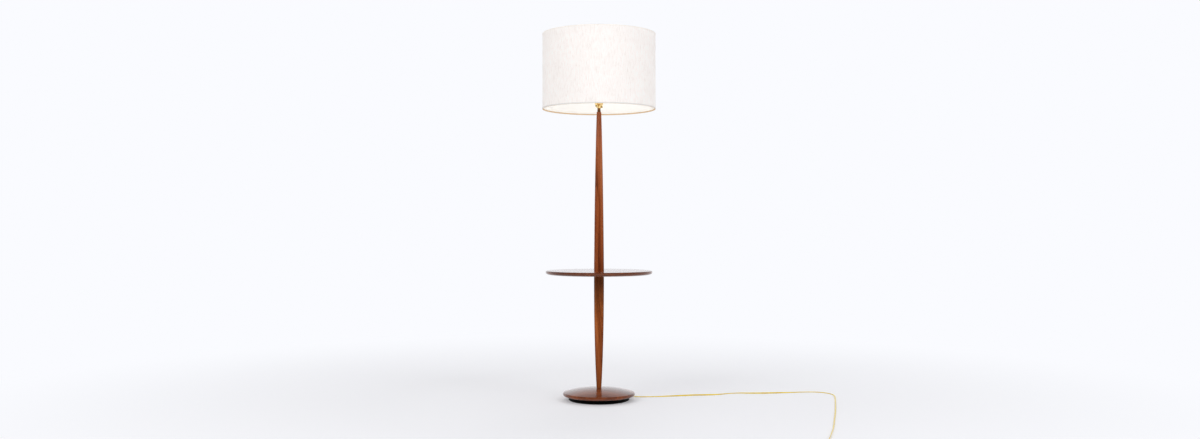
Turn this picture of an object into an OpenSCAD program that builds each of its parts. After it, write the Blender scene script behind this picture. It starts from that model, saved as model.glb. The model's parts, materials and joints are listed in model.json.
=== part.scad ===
// Floor lamp with a round table: a turned wooden column on a weighted dome base,
// a drum shade carried by a harp, and a flat cord with its spare length coiled.
// Millimetres, +Z up, origin on the floor at the column's axis.

/* [Base] */
// Thickness of the felt pad that the lamp stands on
felt_t = 2; // [1:0.5:4]
// Diameter of the felt pad
felt_d = 238; // [200:1:242]
// Diameter of the cast iron weight
weight_d = 246; // [244:1:256]
// Thickness of the weight
weight_t = 16; // [14:0.5:24]
// Diameter of the hole through the middle of the weight
weight_hole_d = 46; // [40:1:60]
// Diameter of the turned wooden dome
dome_d = 292; // [286:1:340]
// Height of the dome from its flat underside to its seat for the column
dome_h = 32; // [30:0.5:46]
// Radius of the dome's rounded rim
rim_r = 7; // [5:0.5:9]
// Depth of the recess turned into the dome's underside
recess_depth = 10; // [9:0.5:13]
// Number of screws that hold the weight to the dome
screw_count = 4; // [3:1:6]
// Diameter of the circle that those screws stand on
screw_pcd = 170; // [120:1:200]
// Diameter of a screw's shank
screw_d = 4; // [3:0.5:5]
// Length of a screw
screw_len = 24; // [18:1:26]

/* [Column] */
// Length of the lower column between the dome and the table
lower_len = 457; // [380:1:560]
// Diameter of the lower column at its foot
foot_d = 19.6; // [18:0.1:26]
// Diameter of both columns where they meet the table
waist_d = 40.4; // [34:0.1:50]
// Length of the upper column between the table and the neck
upper_len = 642; // [540:1:760]
// Diameter of the upper column at its top
tip_d = 18.9; // [17:0.1:24]
// Diameter of the tenon at the foot of the lower column
foot_tenon_d = 14.4; // [13:0.1:16]
// Length of that tenon
foot_tenon_len = 14; // [10:0.5:15]
// Diameter of the upper column's tenon, which passes through the table
tenon_d = 24; // [18:0.5:28]
// Depth to which that tenon enters the lower column
tenon_depth = 12; // [8:0.5:40]
// Depth of the shallow seat turned into the table's top for the upper column
seat_depth = 0.8; // [0.5:0.1:1.5]

/* [Table] */
// Diameter of the table
table_d = 432; // [360:1:500]
// Thickness of the table at its middle
table_t = 16; // [13:0.5:24]
// Diameter of the flat part of the table's underside
table_flat_d = 392; // [300:1:400]
// Radius of the table's rounded upper edge
table_edge_r = 5.5; // [3:0.5:7]

/* [Pipe] */
// Outer diameter of the threaded pipe that ties the column together
pipe_d = 10; // [9:0.1:10.6]
// Bore of that pipe, through which the lead runs
pipe_bore_d = 7; // [6.4:0.1:7.6]
// Distance across the flats of the pipe's nut
nut_flats = 16; // [14:0.5:20]
// Thickness of the nut
nut_t = 4; // [3:0.5:5]
// Diameter of the washer above the nut
washer_d = 28; // [20:1:34]
// Thickness of that washer
washer_t = 1.5; // [1:0.5:2.5]

/* [Neck and saddle] */
// Height of the brass neck on top of the column
neck_h = 16; // [10:0.5:24]
// Diameter of the neck at its foot
neck_foot_d = 16.4; // [14:0.1:17]
// Diameter of the neck at its top
neck_top_d = 12; // [11.6:0.1:14]
// Thickness of the harp saddle's brass strip
saddle_t = 1.5; // [1:0.1:2]
// Width of that strip
saddle_w = 8; // [6:0.5:10]
// Rise of the saddle's arms from its middle to its ends
arm_rise = 3.5; // [2:0.5:8]

/* [Socket] */
// Outer diameter of the brass cap at the bottom of the socket
cap_d = 34; // [33.4:0.1:34.6]
// Wall of the cap
cap_wall = 0.8; // [0.6:0.1:0.9]
// Diameter of the cap's hub
hub_d = 15; // [14:0.1:17]
// Height of the cap's hub
hub_h = 5; // [4:0.5:7]
// Height of the cap's flare above its hub
flare_h = 11.5; // [10:0.5:14]
// Height of the cap's straight skirt
skirt_h = 12; // [9:0.5:13]
// Diameter of the small screw that locks the hub to the pipe
lock_screw_d = 3; // [2:0.1:3.4]
// Wall of the socket's brass shell
shell_wall = 0.6; // [0.4:0.1:0.6]
// Length of the shell
shell_len = 47; // [45:0.5:50]
// Wall of the insulating sleeve inside the shell
sleeve_wall = 0.8; // [0.5:0.1:0.8]
// Height of the socket's insulating core
core_h = 23; // [21:0.5:24]
// Length of the threaded contact shell above the core
screw_shell_len = 21; // [18:0.5:22]
// Wall of that contact shell
screw_shell_wall = 0.6; // [0.4:0.1:0.6]

/* [Switch] */
// Direction in which the switch knob points, seen from above
switch_angle = -30; // [-60:1:0]
// Height of the switch's axis above the foot of the core
switch_rise = 16; // [13:0.5:18]
// Diameter of the switch's shaft
stem_d = 3.4; // [3:0.1:4]
// Diameter of the switch knob
knob_d = 12; // [10:0.5:14]
// Length of the knob
knob_len = 17; // [14:0.5:22]
// Number of flutes round the knob
knob_flutes = 14; // [10:1:18]
// Depth of those flutes
flute_depth = 0.6; // [0.3:0.1:0.8]

/* [Bulb] */
// Diameter of the bulb's screw cap
bulb_cap_d = 26; // [25:0.1:26.2]
// Length of the bulb's screw cap
bulb_cap_len = 23; // [21:0.5:25]
// Greatest diameter of the glass
glass_d = 60; // [50:1:64]
// Height of the glass above its screw cap
glass_h = 85; // [75:1:95]
// Thickness of the glass
glass_wall = 1; // [0.7:0.1:1.5]
// Diameter of the glass's neck
glass_neck_d = 24.4; // [20:0.1:24.6]

/* [Harp] */
// Direction of the harp's plane, seen from above
harp_angle = 60; // [30:1:90]
// Height of the harp's top above the saddle
harp_h = 257; // [235:1:290]
// Distance between the harp's feet
foot_span = 44; // [43.6:0.1:46]
// Width of the harp between the middles of its wires
harp_w = 114; // [100:1:130]
// Diameter of the harp's wire
wire_d = 3.2; // [2.6:0.1:3.4]
// Straight length of each leg above its foot
leg_len = 30; // [27:0.5:40]
// Angle at which the legs spread
spread_angle = 40; // [30:1:50]
// Radius of the first bend above each leg
leg_bend_r = 30; // [20:1:40]
// Radius of the harp's upper corners
corner_r = 50; // [38:1:50]
// Outer diameter of the sleeves that lock the harp to the saddle
ferrule_d = 7.8; // [7.6:0.1:8.2]
// Length of those sleeves
ferrule_len = 14; // [12:0.5:16]
// Diameter of the stud that the shade sits on
stud_d = 6.35; // [6:0.05:6.6]
// Length of the stud above its flange
stud_len = 15; // [13:0.5:18]
// Diameter of the stud's flange
flange_d = 15; // [12:0.5:18]
// Thickness of that flange
flange_t = 1.6; // [1:0.1:2.5]

/* [Shade] */
// Outer diameter of the shade's fabric
shade_d = 458; // [420:1:520]
// Height of the shade with its trims
shade_h = 305; // [260:1:360]
// Drop of the spider's middle below the shade's top ring
spider_drop = 37; // [34:0.5:50]
// Diameter of the spider's middle washer
spider_d = 26; // [20:0.5:32]
// Thickness of that washer
spider_t = 1.6; // [1.2:0.1:2.4]
// Number of the spider's arms
arm_count = 3; // [3:1:5]
// Diameter of the spider's arms
arm_d = 2.8; // [2.4:0.1:3.2]
// Diameter of the wire of the shade's rings
ring_wire_d = 2.6; // [2:0.1:3.2]
// Thickness of the fabric and its stiff lining
fabric_t = 1; // [0.8:0.1:1.6]
// Thickness of the trim tape
trim_t = 0.6; // [0.4:0.1:0.8]
// Height of the trim tape on the wall of the shade
trim_h = 5; // [4:0.5:10]

/* [Finial] */
// Height of the finial
finial_h = 28; // [24:0.5:34]
// Diameter of the finial's ball
finial_d = 17; // [14:0.5:20]
// Diameter of the finial's foot
finial_foot_d = 13; // [11:0.5:16]
// Diameter of the washer under the finial
finial_washer_d = 18; // [15:0.5:22]
// Thickness of that washer
finial_washer_t = 0.8; // [0.5:0.1:1.2]

/* [Cord] */
// Width of the flat twin cord
cord_w = 5.4; // [4.6:0.1:5.8]
// Thickness of the flat twin cord
cord_t = 2.8; // [2.2:0.1:3]
// Direction in which the cord leaves the base
cord_angle = 21; // [10:1:34]
// Height of the cord's middle where it leaves the base
cord_exit_z = 5.6; // [5.2:0.1:7]
// Length of the tapered strain relief outside the weight
relief_len = 22; // [20:0.5:30]
// Length of the relief's body inside the weight
relief_body_len = 10; // [8:0.5:14]
// Number of turns of the put-away coil, which ends a quarter turn past whole ones
coil_turns = 3.25; // [3.25:1:5.25]
// Diameter of the coil across the middle of its turns
coil_mean_d = 60; // [55:1:64]
// Free space between neighbouring turns of the coil
coil_gap = 0.8; // [0.6:0.1:1.5]
// Thickness of the tie round the coil
tie_t = 0.8; // [0.6:0.1:1.2]
// Width of the tie
tie_w = 7; // [5:0.5:10]
// Length of the plug's body
plug_len = 30; // [26:0.5:36]
// Width of the plug's body
plug_w = 22; // [20:0.5:26]
// Thickness of the plug's body
plug_t = 16; // [14:0.5:18]
// Length of the plug's blades
blade_len = 17; // [16:0.5:18]
// Distance between the blades
blade_pitch = 12.7; // [12:0.1:13]

/* [Fits] */
// Clearance round a tenon
tenon_fit = 0.1; // [0.05:0.05:0.3]
// Clearance round the pipe in wood and iron
pipe_fit = 0.2; // [0.1:0.05:0.3]
// Clearance in a screwed or pressed seat
seat_fit = 0.05; // [0.02:0.01:0.1]
// Running clearance round a shaft, stud or wire
run_fit = 0.08; // [0.05:0.01:0.1]
// Free height between pieces that turn on each other
turn_gap = 0.3; // [0.2:0.05:0.5]
// Clearance between the walls of the socket's nested cups
nest_fit = 0.2; // [0.1:0.05:0.2]

/* [Hidden] */

$fn = 96;
small_fn = 32;

// Heights of the seats between the pieces, from the floor up
z_weight = felt_t;
z_dome = z_weight + weight_t;
z_lower = z_dome + dome_h;
z_table = z_lower + lower_len;
z_upper = z_table + table_t;
z_neck = z_upper + upper_len;
z_saddle = z_neck + neck_h;
z_socket = z_saddle + saddle_t;
z_skirt = z_socket + hub_h + flare_h;
z_cap_top = z_skirt + skirt_h;

// The base: screw holes, the slot for the lead and the nut's recess
weight_chamfer = 1.5;
slot_w = 9;
slot_top = cord_exit_z + 4;
screw_head_d = 2.1 * screw_d;
screw_head_h = 0.6 * screw_d;
screw_hole_fit = 0.1;
screw_start_angle = 60;
dome_seat_r = foot_d / 2 + 2;
pipe_hole_d = pipe_d + 2 * pipe_fit;
z_recess = z_dome + recess_depth;
z_nut = z_recess - washer_t - nut_t;
pipe_below_nut = 2.5;
z_pipe = z_nut - pipe_below_nut;

// The socket, from the cap inwards, and its parts' seats
core_seat = 4;
z_core = z_skirt + core_seat;
z_core_top = z_core + core_h;
z_shell = z_core - 2;
z_sleeve = z_core - 1;
sleeve_proud = 2;
shell_r = cap_d / 2 - cap_wall - nest_fit;
sleeve_r = shell_r - shell_wall - nest_fit;
core_r = sleeve_r - sleeve_wall - nest_fit;
contact_shell_r = core_r;
z_switch = z_core + switch_rise;

// The bulb in its socket
contact_h = 1.2;
contact_d = 9;
insulator_h = 2.6;
insulator_d = 19;
bulb_step = 0.2;
z_contact = z_core_top + turn_gap;
z_bulb_cap = z_contact + contact_h + insulator_h + bulb_step;
z_glass = z_bulb_cap + bulb_cap_len;
glass_seat = 4;

// The harp: its feet stand on the saddle's ends
z_seat = z_saddle + arm_rise + saddle_t;
z_leg_top = z_seat + leg_len;
z_harp_top = z_saddle + harp_h;
foot_r = foot_span / 2;
side_r = harp_w / 2;
side_bend_r = (side_r - foot_r) / (1 - cos(spread_angle)) - leg_bend_r;
z_side = z_leg_top + (leg_bend_r + side_bend_r) * sin(spread_angle);
top_plate_t = wire_d - 0.6;
top_plate_w = 9;
top_plate_len = 17;
rivet_d = 4;
rivet_head_d = 7;
rivet_head_h = 1.2;
z_flange = z_harp_top + top_plate_t / 2;
z_stud_seat = z_flange + flange_t;
ferrule_bore_d = ferrule_d - 1.4;
prong_t = 1.1;
prong_w = 2.4;
prong_h = 8;

// The shade hangs from its spider, which lies on the stud's flange
z_spider = z_stud_seat + turn_gap;
z_top_ring = z_spider + spider_t / 2 + spider_drop;
shade_r = shade_d / 2;
ring_fit = 0.1;
ring_r = shade_r - fabric_t - ring_fit - ring_wire_d / 2;
z_shade_top = z_top_ring + ring_wire_d / 2 + ring_fit + trim_t;
z_shade = z_shade_top - shade_h;
z_bottom_ring = z_shade + trim_t + ring_fit + ring_wire_d / 2;
trim_fit = 0.05;
trim_outer_r = shade_r + trim_fit + trim_t;
trim_inner_r = ring_r - ring_wire_d / 2 - ring_fit - trim_t;
finial_step = 0.2;
z_finial_washer = z_spider + spider_t + turn_gap;
z_finial = z_finial_washer + finial_washer_t + finial_step;

// The cord: its exit from the relief, the coil and the plug
cord_exit_r = weight_d / 2 + relief_len;
cord_exit = [cord_exit_r * cos(cord_angle), cord_exit_r * sin(cord_angle), cord_exit_z];
cord_out = [cos(cord_angle), sin(cord_angle), 0];
lead_bend_r = 15;
z_lead_top = z_core;
coil_centre = [700, -960];
coil_pitch = cord_t + coil_gap;
coil_in_r = coil_mean_d / 2 - coil_pitch * coil_turns / 4;
coil_out_r = coil_in_r + coil_pitch * coil_turns / 2;
layer_gap = 0.6;
coil_z1 = tie_t + 0.1 + cord_w / 2;
coil_z2 = coil_z1 + cord_w + layer_gap;
coil_entry = [coil_centre[0] + coil_out_r, coil_centre[1] + cord_w, coil_z1];
tail_len = 24;
plug_exit = [coil_centre[0] - tail_len, coil_centre[1] - coil_out_r, plug_t / 2];
plug_taper_w = 13;

// Route of the cord over the floor, chosen by hand: x, y, lift above the floor, roll in degrees.
// A roll of 0 lies flat and a roll of 90 stands on edge.
route_middle = [
    [184, 69, 0.6, 0], [245, 78, 0, 10], [330, 95, 0, 60], [390, 110, 0, 80],
    [450, 117, 0, 70], [495, 131, 0, 30], [540, 158, 0, 0], [585, 172, 0, 10], [640, 165, 0, 40],
    [695, 165, 0, 70], [750, 174, 0, 50], [805, 185, 0, 20], [860, 199, 0, 0], [910, 201, 0, 0],
    [948, 182, 0, 0], [970, 146, 0, 0], [973, 96, 0, 10], [958, 10, 0, 20], [931, -120, 0, 30],
    [895, -285, 0, 10], [855, -455, 0, 20], [818, -610, 0, 40], [785, -730, 0, 60],
    [755, -835, 0, 80]
];

// Height of the cord's middle above what it lies on, for a roll
function rest_height(roll) = sqrt(pow(cord_w / 2 * sin(roll), 2) + pow(cord_t / 2 * cos(roll), 2));

// The middle of the cord at a place of the route
function laid(p) = [p[0], p[1], p[2] + rest_height(p[3])];

exit_lift = cord_exit_z - rest_height(0);
coil_lift = coil_z1 - rest_height(90);
cord_route = concat(
    [[cord_exit[0], cord_exit[1], exit_lift, 0]],
    [[cord_exit[0] + 12 * cord_out[0], cord_exit[1] + 12 * cord_out[1], exit_lift - 0.4, 0]],
    route_middle,
    [[coil_entry[0], coil_entry[1] + 40, coil_lift, 90]],
    [[coil_entry[0], coil_entry[1], coil_lift, 90]]
);

// Points of an arc of radius r about c, from angle a0 to a1, in n steps
function arc_points(c, r, a0, a1, n) =
    [for (i = [0:n]) c + r * [cos(a0 + (a1 - a0) * i / n), sin(a0 + (a1 - a0) * i / n)]];

// A cubic curve through a and d, drawn towards b and c, in n steps
function curve_points(a, b, c, d, n) =
    [for (i = [0:n]) let (t = i / n, s = 1 - t)
        s * s * s * a + 3 * s * s * t * b + 3 * s * t * t * c + t * t * t * d];

// A list in reverse order
function reversed(list) = [for (i = [len(list) - 1:-1:0]) list[i]];

function unit(v) = v / norm(v);

// An oval of n points with half axes a and b, set round a point square to tangent
function oval_ring(point, tangent, wide, a, b, n) =
    let (thin = cross(tangent, wide))
    [for (k = [0:n - 1]) point + a * cos(360 * k / n) * wide + b * sin(360 * k / n) * thin];

// A ring of the flat cord: its width lies level at roll 0 and upright at roll 90
function cord_ring(point, tangent, roll, n) =
    let (side = unit(cross([0, 0, 1], tangent)),
        wide = cos(roll) * side + sin(roll) * cross(tangent, side))
    oval_ring(point, tangent, wide, cord_w / 2, cord_t / 2, n);

// A point on the smooth curve through the route, t of the way from point i to the next
function route_point(p, i, t) =
    let (a = i > 0 ? p[i - 1] : 2 * p[0] - p[1], b = p[i], c = p[i + 1],
        d = i + 2 < len(p) ? p[i + 2] : 2 * p[i + 1] - p[i])
    0.5 * (2 * b + (c - a) * t + (2 * a - 5 * b + 4 * c - d) * t * t
        + (3 * b - a - 3 * c + d) * t * t * t);

// A solid skin over a list of rings that all have the same number of points
module skin(rings) {
    n = len(rings[0]);
    last = len(rings) - 1;
    walls = [for (i = [0:last - 1], k = [0:n - 1], half = [0, 1])
        let (a = i * n + k, b = i * n + (k + 1) % n)
        half == 0 ? [b, a, a + n] : [b, a + n, b + n]];
    first_cap = [for (k = [1:n - 2]) [0, k, k + 1]];
    last_cap = [for (k = [1:n - 2]) [last * n, last * n + k + 1, last * n + k]];
    polyhedron(points = [for (r = rings, q = r) q], faces = concat(walls, first_cap, last_cap));
}

// A disc with a round hole
module washer(outer_d, hole_d, thickness) {
    difference() {
        cylinder(d = outer_d, h = thickness);
        translate([0, 0, -1]) cylinder(d = hole_d, h = thickness + 2);
    }
}

// The felt pad under the weight
module felt_pad() {
    color("dimgray") cylinder(d = felt_d, h = felt_t);
}

// Places of the screws between the weight and the dome
module at_screws() {
    for (i = [0:screw_count - 1])
        rotate([0, 0, screw_start_angle + 360 / screw_count * i])
            translate([screw_pcd / 2, 0, 0]) children();
}

// The shape of one countersunk screw, widened all round by fit
module screw_shape(fit) {
    cylinder(d = screw_d + 2 * fit, h = screw_len);
    cylinder(d1 = screw_head_d + 2 * fit, d2 = screw_d + 2 * fit, h = screw_head_h);
}

// The cast iron weight, with a slot for the lead and countersunk screw holes
module base_weight() {
    color("#1b1a1c") difference() {
        translate([0, 0, z_weight]) rotate_extrude() polygon([
            [weight_hole_d / 2, 0], [weight_d / 2 - weight_chamfer, 0],
            [weight_d / 2, weight_chamfer], [weight_d / 2, weight_t - weight_chamfer],
            [weight_d / 2 - weight_chamfer, weight_t], [weight_hole_d / 2, weight_t]
        ]);
        rotate([0, 0, cord_angle]) translate([0, -slot_w / 2, z_weight - 1])
            cube([weight_d, slot_w, slot_top - z_weight + 1]);
        at_screws() translate([0, 0, z_weight - 0.01]) screw_shape(screw_hole_fit);
    }
}

// The screws that hold the weight up to the dome
module base_screws() {
    color("silver") at_screws() translate([0, 0, z_weight]) screw_shape(0);
}

// The turned dome: a shallow spherical top, a rounded rim and a flat underside
module base_dome() {
    rim_c = [dome_d / 2 - rim_r, rim_r];
    rim_end = 75;
    shoulder = rim_c + rim_r * [cos(rim_end), sin(rim_end)];
    cap_cz = (pow(shoulder[0], 2) + pow(shoulder[1], 2) - pow(dome_seat_r, 2) - pow(dome_h, 2))
        / (2 * (shoulder[1] - dome_h));
    cap_r = norm([dome_seat_r, dome_h - cap_cz]);
    a0 = atan2(shoulder[1] - cap_cz, shoulder[0]);
    a1 = atan2(dome_h - cap_cz, dome_seat_r);
    socket_r = foot_tenon_d / 2 + tenon_fit;
    color("#6b3a20") difference() {
        translate([0, 0, z_dome]) rotate_extrude() polygon(concat(
            [[weight_hole_d / 2, recess_depth], [weight_hole_d / 2, 0]],
            arc_points(rim_c, rim_r, -90, rim_end, 14),
            [for (i = [1:16]) [0, cap_cz]
                + cap_r * [cos(a0 + (a1 - a0) * i / 16), sin(a0 + (a1 - a0) * i / 16)]],
            [[socket_r, dome_h], [socket_r, dome_h - foot_tenon_len],
                [pipe_hole_d / 2, dome_h - foot_tenon_len], [pipe_hole_d / 2, recess_depth]]
        ));
        at_screws() translate([0, 0, z_weight]) cylinder(d = screw_d + 0.1, h = screw_len + 0.5);
    }
}

// The washer and the nut that pull the pipe tight in the dome's recess
module pipe_washer() {
    color("silver") translate([0, 0, z_recess - washer_t])
        washer(washer_d, pipe_d + 2 * seat_fit, washer_t);
}

module pipe_nut() {
    color("goldenrod") translate([0, 0, z_nut]) difference() {
        cylinder(d = nut_flats / cos(30), h = nut_t, $fn = 6);
        translate([0, 0, -1]) cylinder(d = pipe_d + 2 * seat_fit, h = nut_t + 2);
    }
}

// The threaded pipe from the base to the socket's hub
module threaded_pipe() {
    color("silver") translate([0, 0, z_pipe])
        washer(pipe_d, pipe_bore_d, z_socket + hub_h - z_pipe);
}

// The lead inside the lamp: through the relief and the slot, round a bend and up the pipe
module inner_lead() {
    path = concat(
        [[cord_exit_r, cord_exit_z, 180]],
        [for (i = [0:6]) let (a = 15 * i)
            [lead_bend_r * (1 - sin(a)), cord_exit_z + lead_bend_r * (1 - cos(a)), 180 - a]],
        [[0, z_lead_top, 90]]
    );
    color("#d8c878") rotate([0, 0, cord_angle]) skin([for (p = path)
        oval_ring([p[0], 0, p[1]], [cos(p[2]), 0, sin(p[2])], [0, 1, 0], cord_w / 2, cord_t / 2, 8)]);
}

// The lower column: slender at its foot and fullest under the table
module lower_column() {
    tenon_r = foot_tenon_d / 2;
    socket_r = tenon_d / 2 + tenon_fit;
    outline = curve_points([foot_d / 2, 0], [foot_d / 2 + 5.7, lower_len * 0.22],
        [waist_d / 2 + 0.1, lower_len * 0.52], [waist_d / 2, lower_len], 22);
    color("#7d4524") translate([0, 0, z_lower]) rotate_extrude() polygon(concat(
        [[pipe_hole_d / 2, -foot_tenon_len], [tenon_r, -foot_tenon_len], [tenon_r, 0]],
        outline,
        [[socket_r, lower_len], [socket_r, lower_len - tenon_depth],
            [pipe_hole_d / 2, lower_len - tenon_depth]]
    ));
}

// The table, with a rounded upper edge, an underside drawn up towards the rim and a shallow
// seat for the upper column
module table_top() {
    edge_c = [table_d / 2 - table_edge_r, table_t - table_edge_r];
    flat_r = table_flat_d / 2;
    reach = table_d / 2 - flat_r;
    seat_r = waist_d / 2 + 2 * tenon_fit;
    color("#64402c") translate([0, 0, z_table]) rotate_extrude() polygon(concat(
        [[tenon_d / 2 + tenon_fit, 0]],
        curve_points([flat_r, 0], [flat_r + 0.65 * reach, 0], [table_d / 2, 0.3 * edge_c[1]],
            [table_d / 2, edge_c[1]], 12),
        [for (i = [1:8]) edge_c + table_edge_r * [cos(11.25 * i), sin(11.25 * i)]],
        [[seat_r, table_t], [seat_r, table_t - seat_depth],
            [tenon_d / 2 + tenon_fit, table_t - seat_depth]]
    ));
}

// The upper column: it stands in the table's shallow seat, and its tenon passes through the
// table into the lower column
module upper_column() {
    tenon_len = table_t + tenon_depth;
    outline = curve_points([waist_d / 2, 0], [waist_d / 2 - 1.9, upper_len * 0.34],
        [tip_d / 2 + 6.4, upper_len * 0.68], [tip_d / 2, upper_len], 24);
    color("#8a4a28") translate([0, 0, z_upper]) rotate_extrude() polygon(concat(
        [[pipe_hole_d / 2, -tenon_len], [tenon_d / 2, -tenon_len],
            [tenon_d / 2, -seat_depth], [waist_d / 2, -seat_depth]],
        outline,
        [[pipe_hole_d / 2, upper_len]]
    ));
}

// The brass neck: a small foot, then a hollow-sided cone
module brass_neck() {
    color("#7a5a30") translate([0, 0, z_neck]) rotate_extrude() polygon(concat(
        [[pipe_d / 2 + seat_fit, 0], [neck_foot_d / 2, 0], [neck_foot_d / 2, 1.2]],
        curve_points([neck_foot_d / 2 - 0.8, 1.8], [neck_foot_d / 2 - 1, neck_h * 0.4],
            [neck_top_d / 2, neck_h * 0.55], [neck_top_d / 2, neck_h], 8),
        [[pipe_d / 2 + seat_fit, neck_h]]
    ));
}

// One end of the harp saddle: a sloping arm, a round seat and the prong inside the sleeve
module saddle_arm() {
    bend_r = hub_d / 2 + 1.5;
    seat_r = ferrule_d / 2 + 0.4;
    slope_end = foot_r - seat_r + 0.6;
    k = 0.3;
    translate([0, saddle_w / 2, 0]) rotate([90, 0, 0]) linear_extrude(saddle_w) polygon([
        [pipe_d / 2 + 1, 0], [bend_r, 0], [slope_end, arm_rise], [foot_r, arm_rise],
        [foot_r, arm_rise + saddle_t], [slope_end - k, arm_rise + saddle_t],
        [bend_r - k, saddle_t], [pipe_d / 2 + 1, saddle_t]
    ]);
    translate([foot_r, 0, arm_rise]) cylinder(r = seat_r, h = saddle_t);
    translate([foot_r - ferrule_bore_d / 2 + 0.35, -prong_w / 2, arm_rise])
        cube([prong_t, prong_w, saddle_t + prong_h]);
}

// The harp saddle, clamped between the neck and the socket's cap
module harp_saddle() {
    color("#d9a93f") translate([0, 0, z_saddle]) rotate([0, 0, harp_angle]) difference() {
        union() {
            cylinder(d = hub_d + 3, h = saddle_t);
            saddle_arm();
            rotate([0, 0, 180]) saddle_arm();
        }
        translate([0, 0, -1]) cylinder(d = pipe_d + 2 * seat_fit, h = saddle_t + 2);
    }
}

// The cap of the socket: a hub on the pipe, a flare and a straight skirt
module socket_cap() {
    hub_r = hub_d / 2;
    outer_r = cap_d / 2;
    flare = curve_points([hub_r, hub_h], [hub_r + 1, hub_h + flare_h * 0.75],
        [outer_r, hub_h + flare_h * 0.35], [outer_r, hub_h + flare_h], 12);
    inner = [for (p = reversed(flare)) [p[0] - cap_wall, p[1] + cap_wall * (outer_r - p[0]) / (outer_r - hub_r)]];
    skirt_top = hub_h + flare_h + skirt_h;
    color("#d9b04a") difference() {
        translate([0, 0, z_socket]) rotate_extrude() polygon(concat(
            [[pipe_d / 2 + seat_fit, 0], [hub_r, 0]],
            flare,
            [[outer_r, skirt_top], [outer_r - cap_wall, skirt_top]],
            inner,
            [[pipe_d / 2 + seat_fit, hub_h + cap_wall]]
        ));
        rotate([0, 0, switch_angle]) translate([pipe_d / 2 - 1, 0, z_socket + hub_h / 2])
            rotate([0, 90, 0]) cylinder(d = lock_screw_d + 2 * seat_fit, h = hub_d);
    }
}

// The small screw that locks the hub to the pipe
module cap_lock_screw() {
    screw_reach = pipe_d / 2 + seat_fit;
    color("goldenrod") rotate([0, 0, switch_angle]) translate([screw_reach, 0, z_socket + hub_h / 2])
        rotate([0, 90, 0]) difference() {
            cylinder(d = lock_screw_d, h = hub_d / 2 - screw_reach + 1);
            translate([-lock_screw_d, -0.3, hub_d / 2 - screw_reach + 0.3])
                cube([2 * lock_screw_d, 0.6, 1]);
        }
}

// The insulating core with the bore that the switch's shaft turns in
module socket_core() {
    terminal_d = 5;
    color("#2b1d16") difference() {
        translate([0, 0, z_core]) cylinder(r = core_r, h = core_h);
        rotate([0, 0, switch_angle]) translate([1, 0, z_switch]) rotate([0, 90, 0])
            cylinder(d = stem_d + 2 * run_fit, h = core_r);
        for (side = [-1, 1])
            rotate([0, 0, switch_angle + 90 * side]) translate([core_r, 0, z_core + core_h / 3])
                rotate([0, -90, 0]) cylinder(d = terminal_d, h = 2);
    }
}

// The threaded contact shell that the bulb screws into
module contact_shell() {
    color("#c99a3c") translate([0, 0, z_core_top])
        washer(2 * contact_shell_r, 2 * (contact_shell_r - screw_shell_wall), screw_shell_len);
}

// A thin tube round the core with a hole for the switch's shaft
module cup_wall(outer_r, wall, z, length) {
    shaft_hole_d = stem_d + 1.4;
    difference() {
        translate([0, 0, z]) washer(2 * outer_r, 2 * (outer_r - wall), length);
        rotate([0, 0, switch_angle]) translate([core_r - 1, 0, z_switch]) rotate([0, 90, 0])
            cylinder(d = shaft_hole_d, h = cap_d / 2);
    }
}

// The insulating sleeve and the brass shell of the socket
module insulating_sleeve() {
    color("#b89a72") cup_wall(sleeve_r, sleeve_wall, z_sleeve, shell_len - 1 + sleeve_proud);
}

module socket_shell() {
    color("#d9b04a") cup_wall(shell_r, shell_wall, z_shell, shell_len);
}

// The switch's shaft and its fluted knob
knob_start = cap_d / 2 + 1;
stem_end = knob_start + knob_len - 5;

module switch_stem() {
    color("silver") rotate([0, 0, switch_angle]) translate([2, 0, z_switch]) rotate([0, 90, 0])
        cylinder(d = stem_d, h = stem_end - 2);
}

module switch_knob() {
    nose_h = 2;
    color("#241a16") rotate([0, 0, switch_angle]) translate([knob_start, 0, z_switch])
        rotate([0, 90, 0]) difference() {
            union() {
                cylinder(d = knob_d, h = knob_len - nose_h);
                translate([0, 0, knob_len - nose_h])
                    cylinder(d1 = knob_d, d2 = knob_d - 2 * nose_h, h = nose_h);
            }
            translate([0, 0, -1]) cylinder(d = stem_d + 2 * seat_fit, h = stem_end - knob_start + 1.2);
            for (i = [0:knob_flutes - 1])
                rotate([0, 0, 360 / knob_flutes * i]) translate([knob_d / 2 + flute_depth, 0, 2])
                    cylinder(d = 4 * flute_depth, h = knob_len, $fn = small_fn);
        }
}

// The bulb's contact and the glass bead round it
module bulb_contact() {
    color("#3a3a3a") translate([0, 0, z_contact]) {
        cylinder(d = contact_d, h = contact_h);
        translate([0, 0, contact_h]) cylinder(d1 = contact_d + 1, d2 = insulator_d, h = insulator_h);
    }
}

// The bulb's screw cap, a cup that holds the glass's neck
module bulb_cap() {
    cap_r = bulb_cap_d / 2;
    neck_r = glass_neck_d / 2 + seat_fit;
    color("silver") translate([0, 0, z_bulb_cap]) rotate_extrude() polygon([
        [0, 0], [insulator_d / 2, 0], [cap_r, 3], [cap_r, bulb_cap_len],
        [neck_r, bulb_cap_len], [neck_r, bulb_cap_len - glass_seat - 1], [0, bulb_cap_len - glass_seat - 1]
    ]);
}

// Outline of the bulb's glass, drawn in by inset: a neck, a long curve and a round head
function glass_outline(inset) =
    let (neck_r = glass_neck_d / 2 - inset, head_r = glass_d / 2 - inset,
        head_z = glass_h - glass_d / 2)
    concat([[neck_r, -glass_seat]],
        curve_points([neck_r, 0], [neck_r + 1.5, head_z * 0.36], [head_r, head_z * 0.46],
            [head_r, head_z], 14),
        [for (i = [1:12]) [0, head_z] + head_r * [cos(7.5 * i), sin(7.5 * i)]]);

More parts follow.
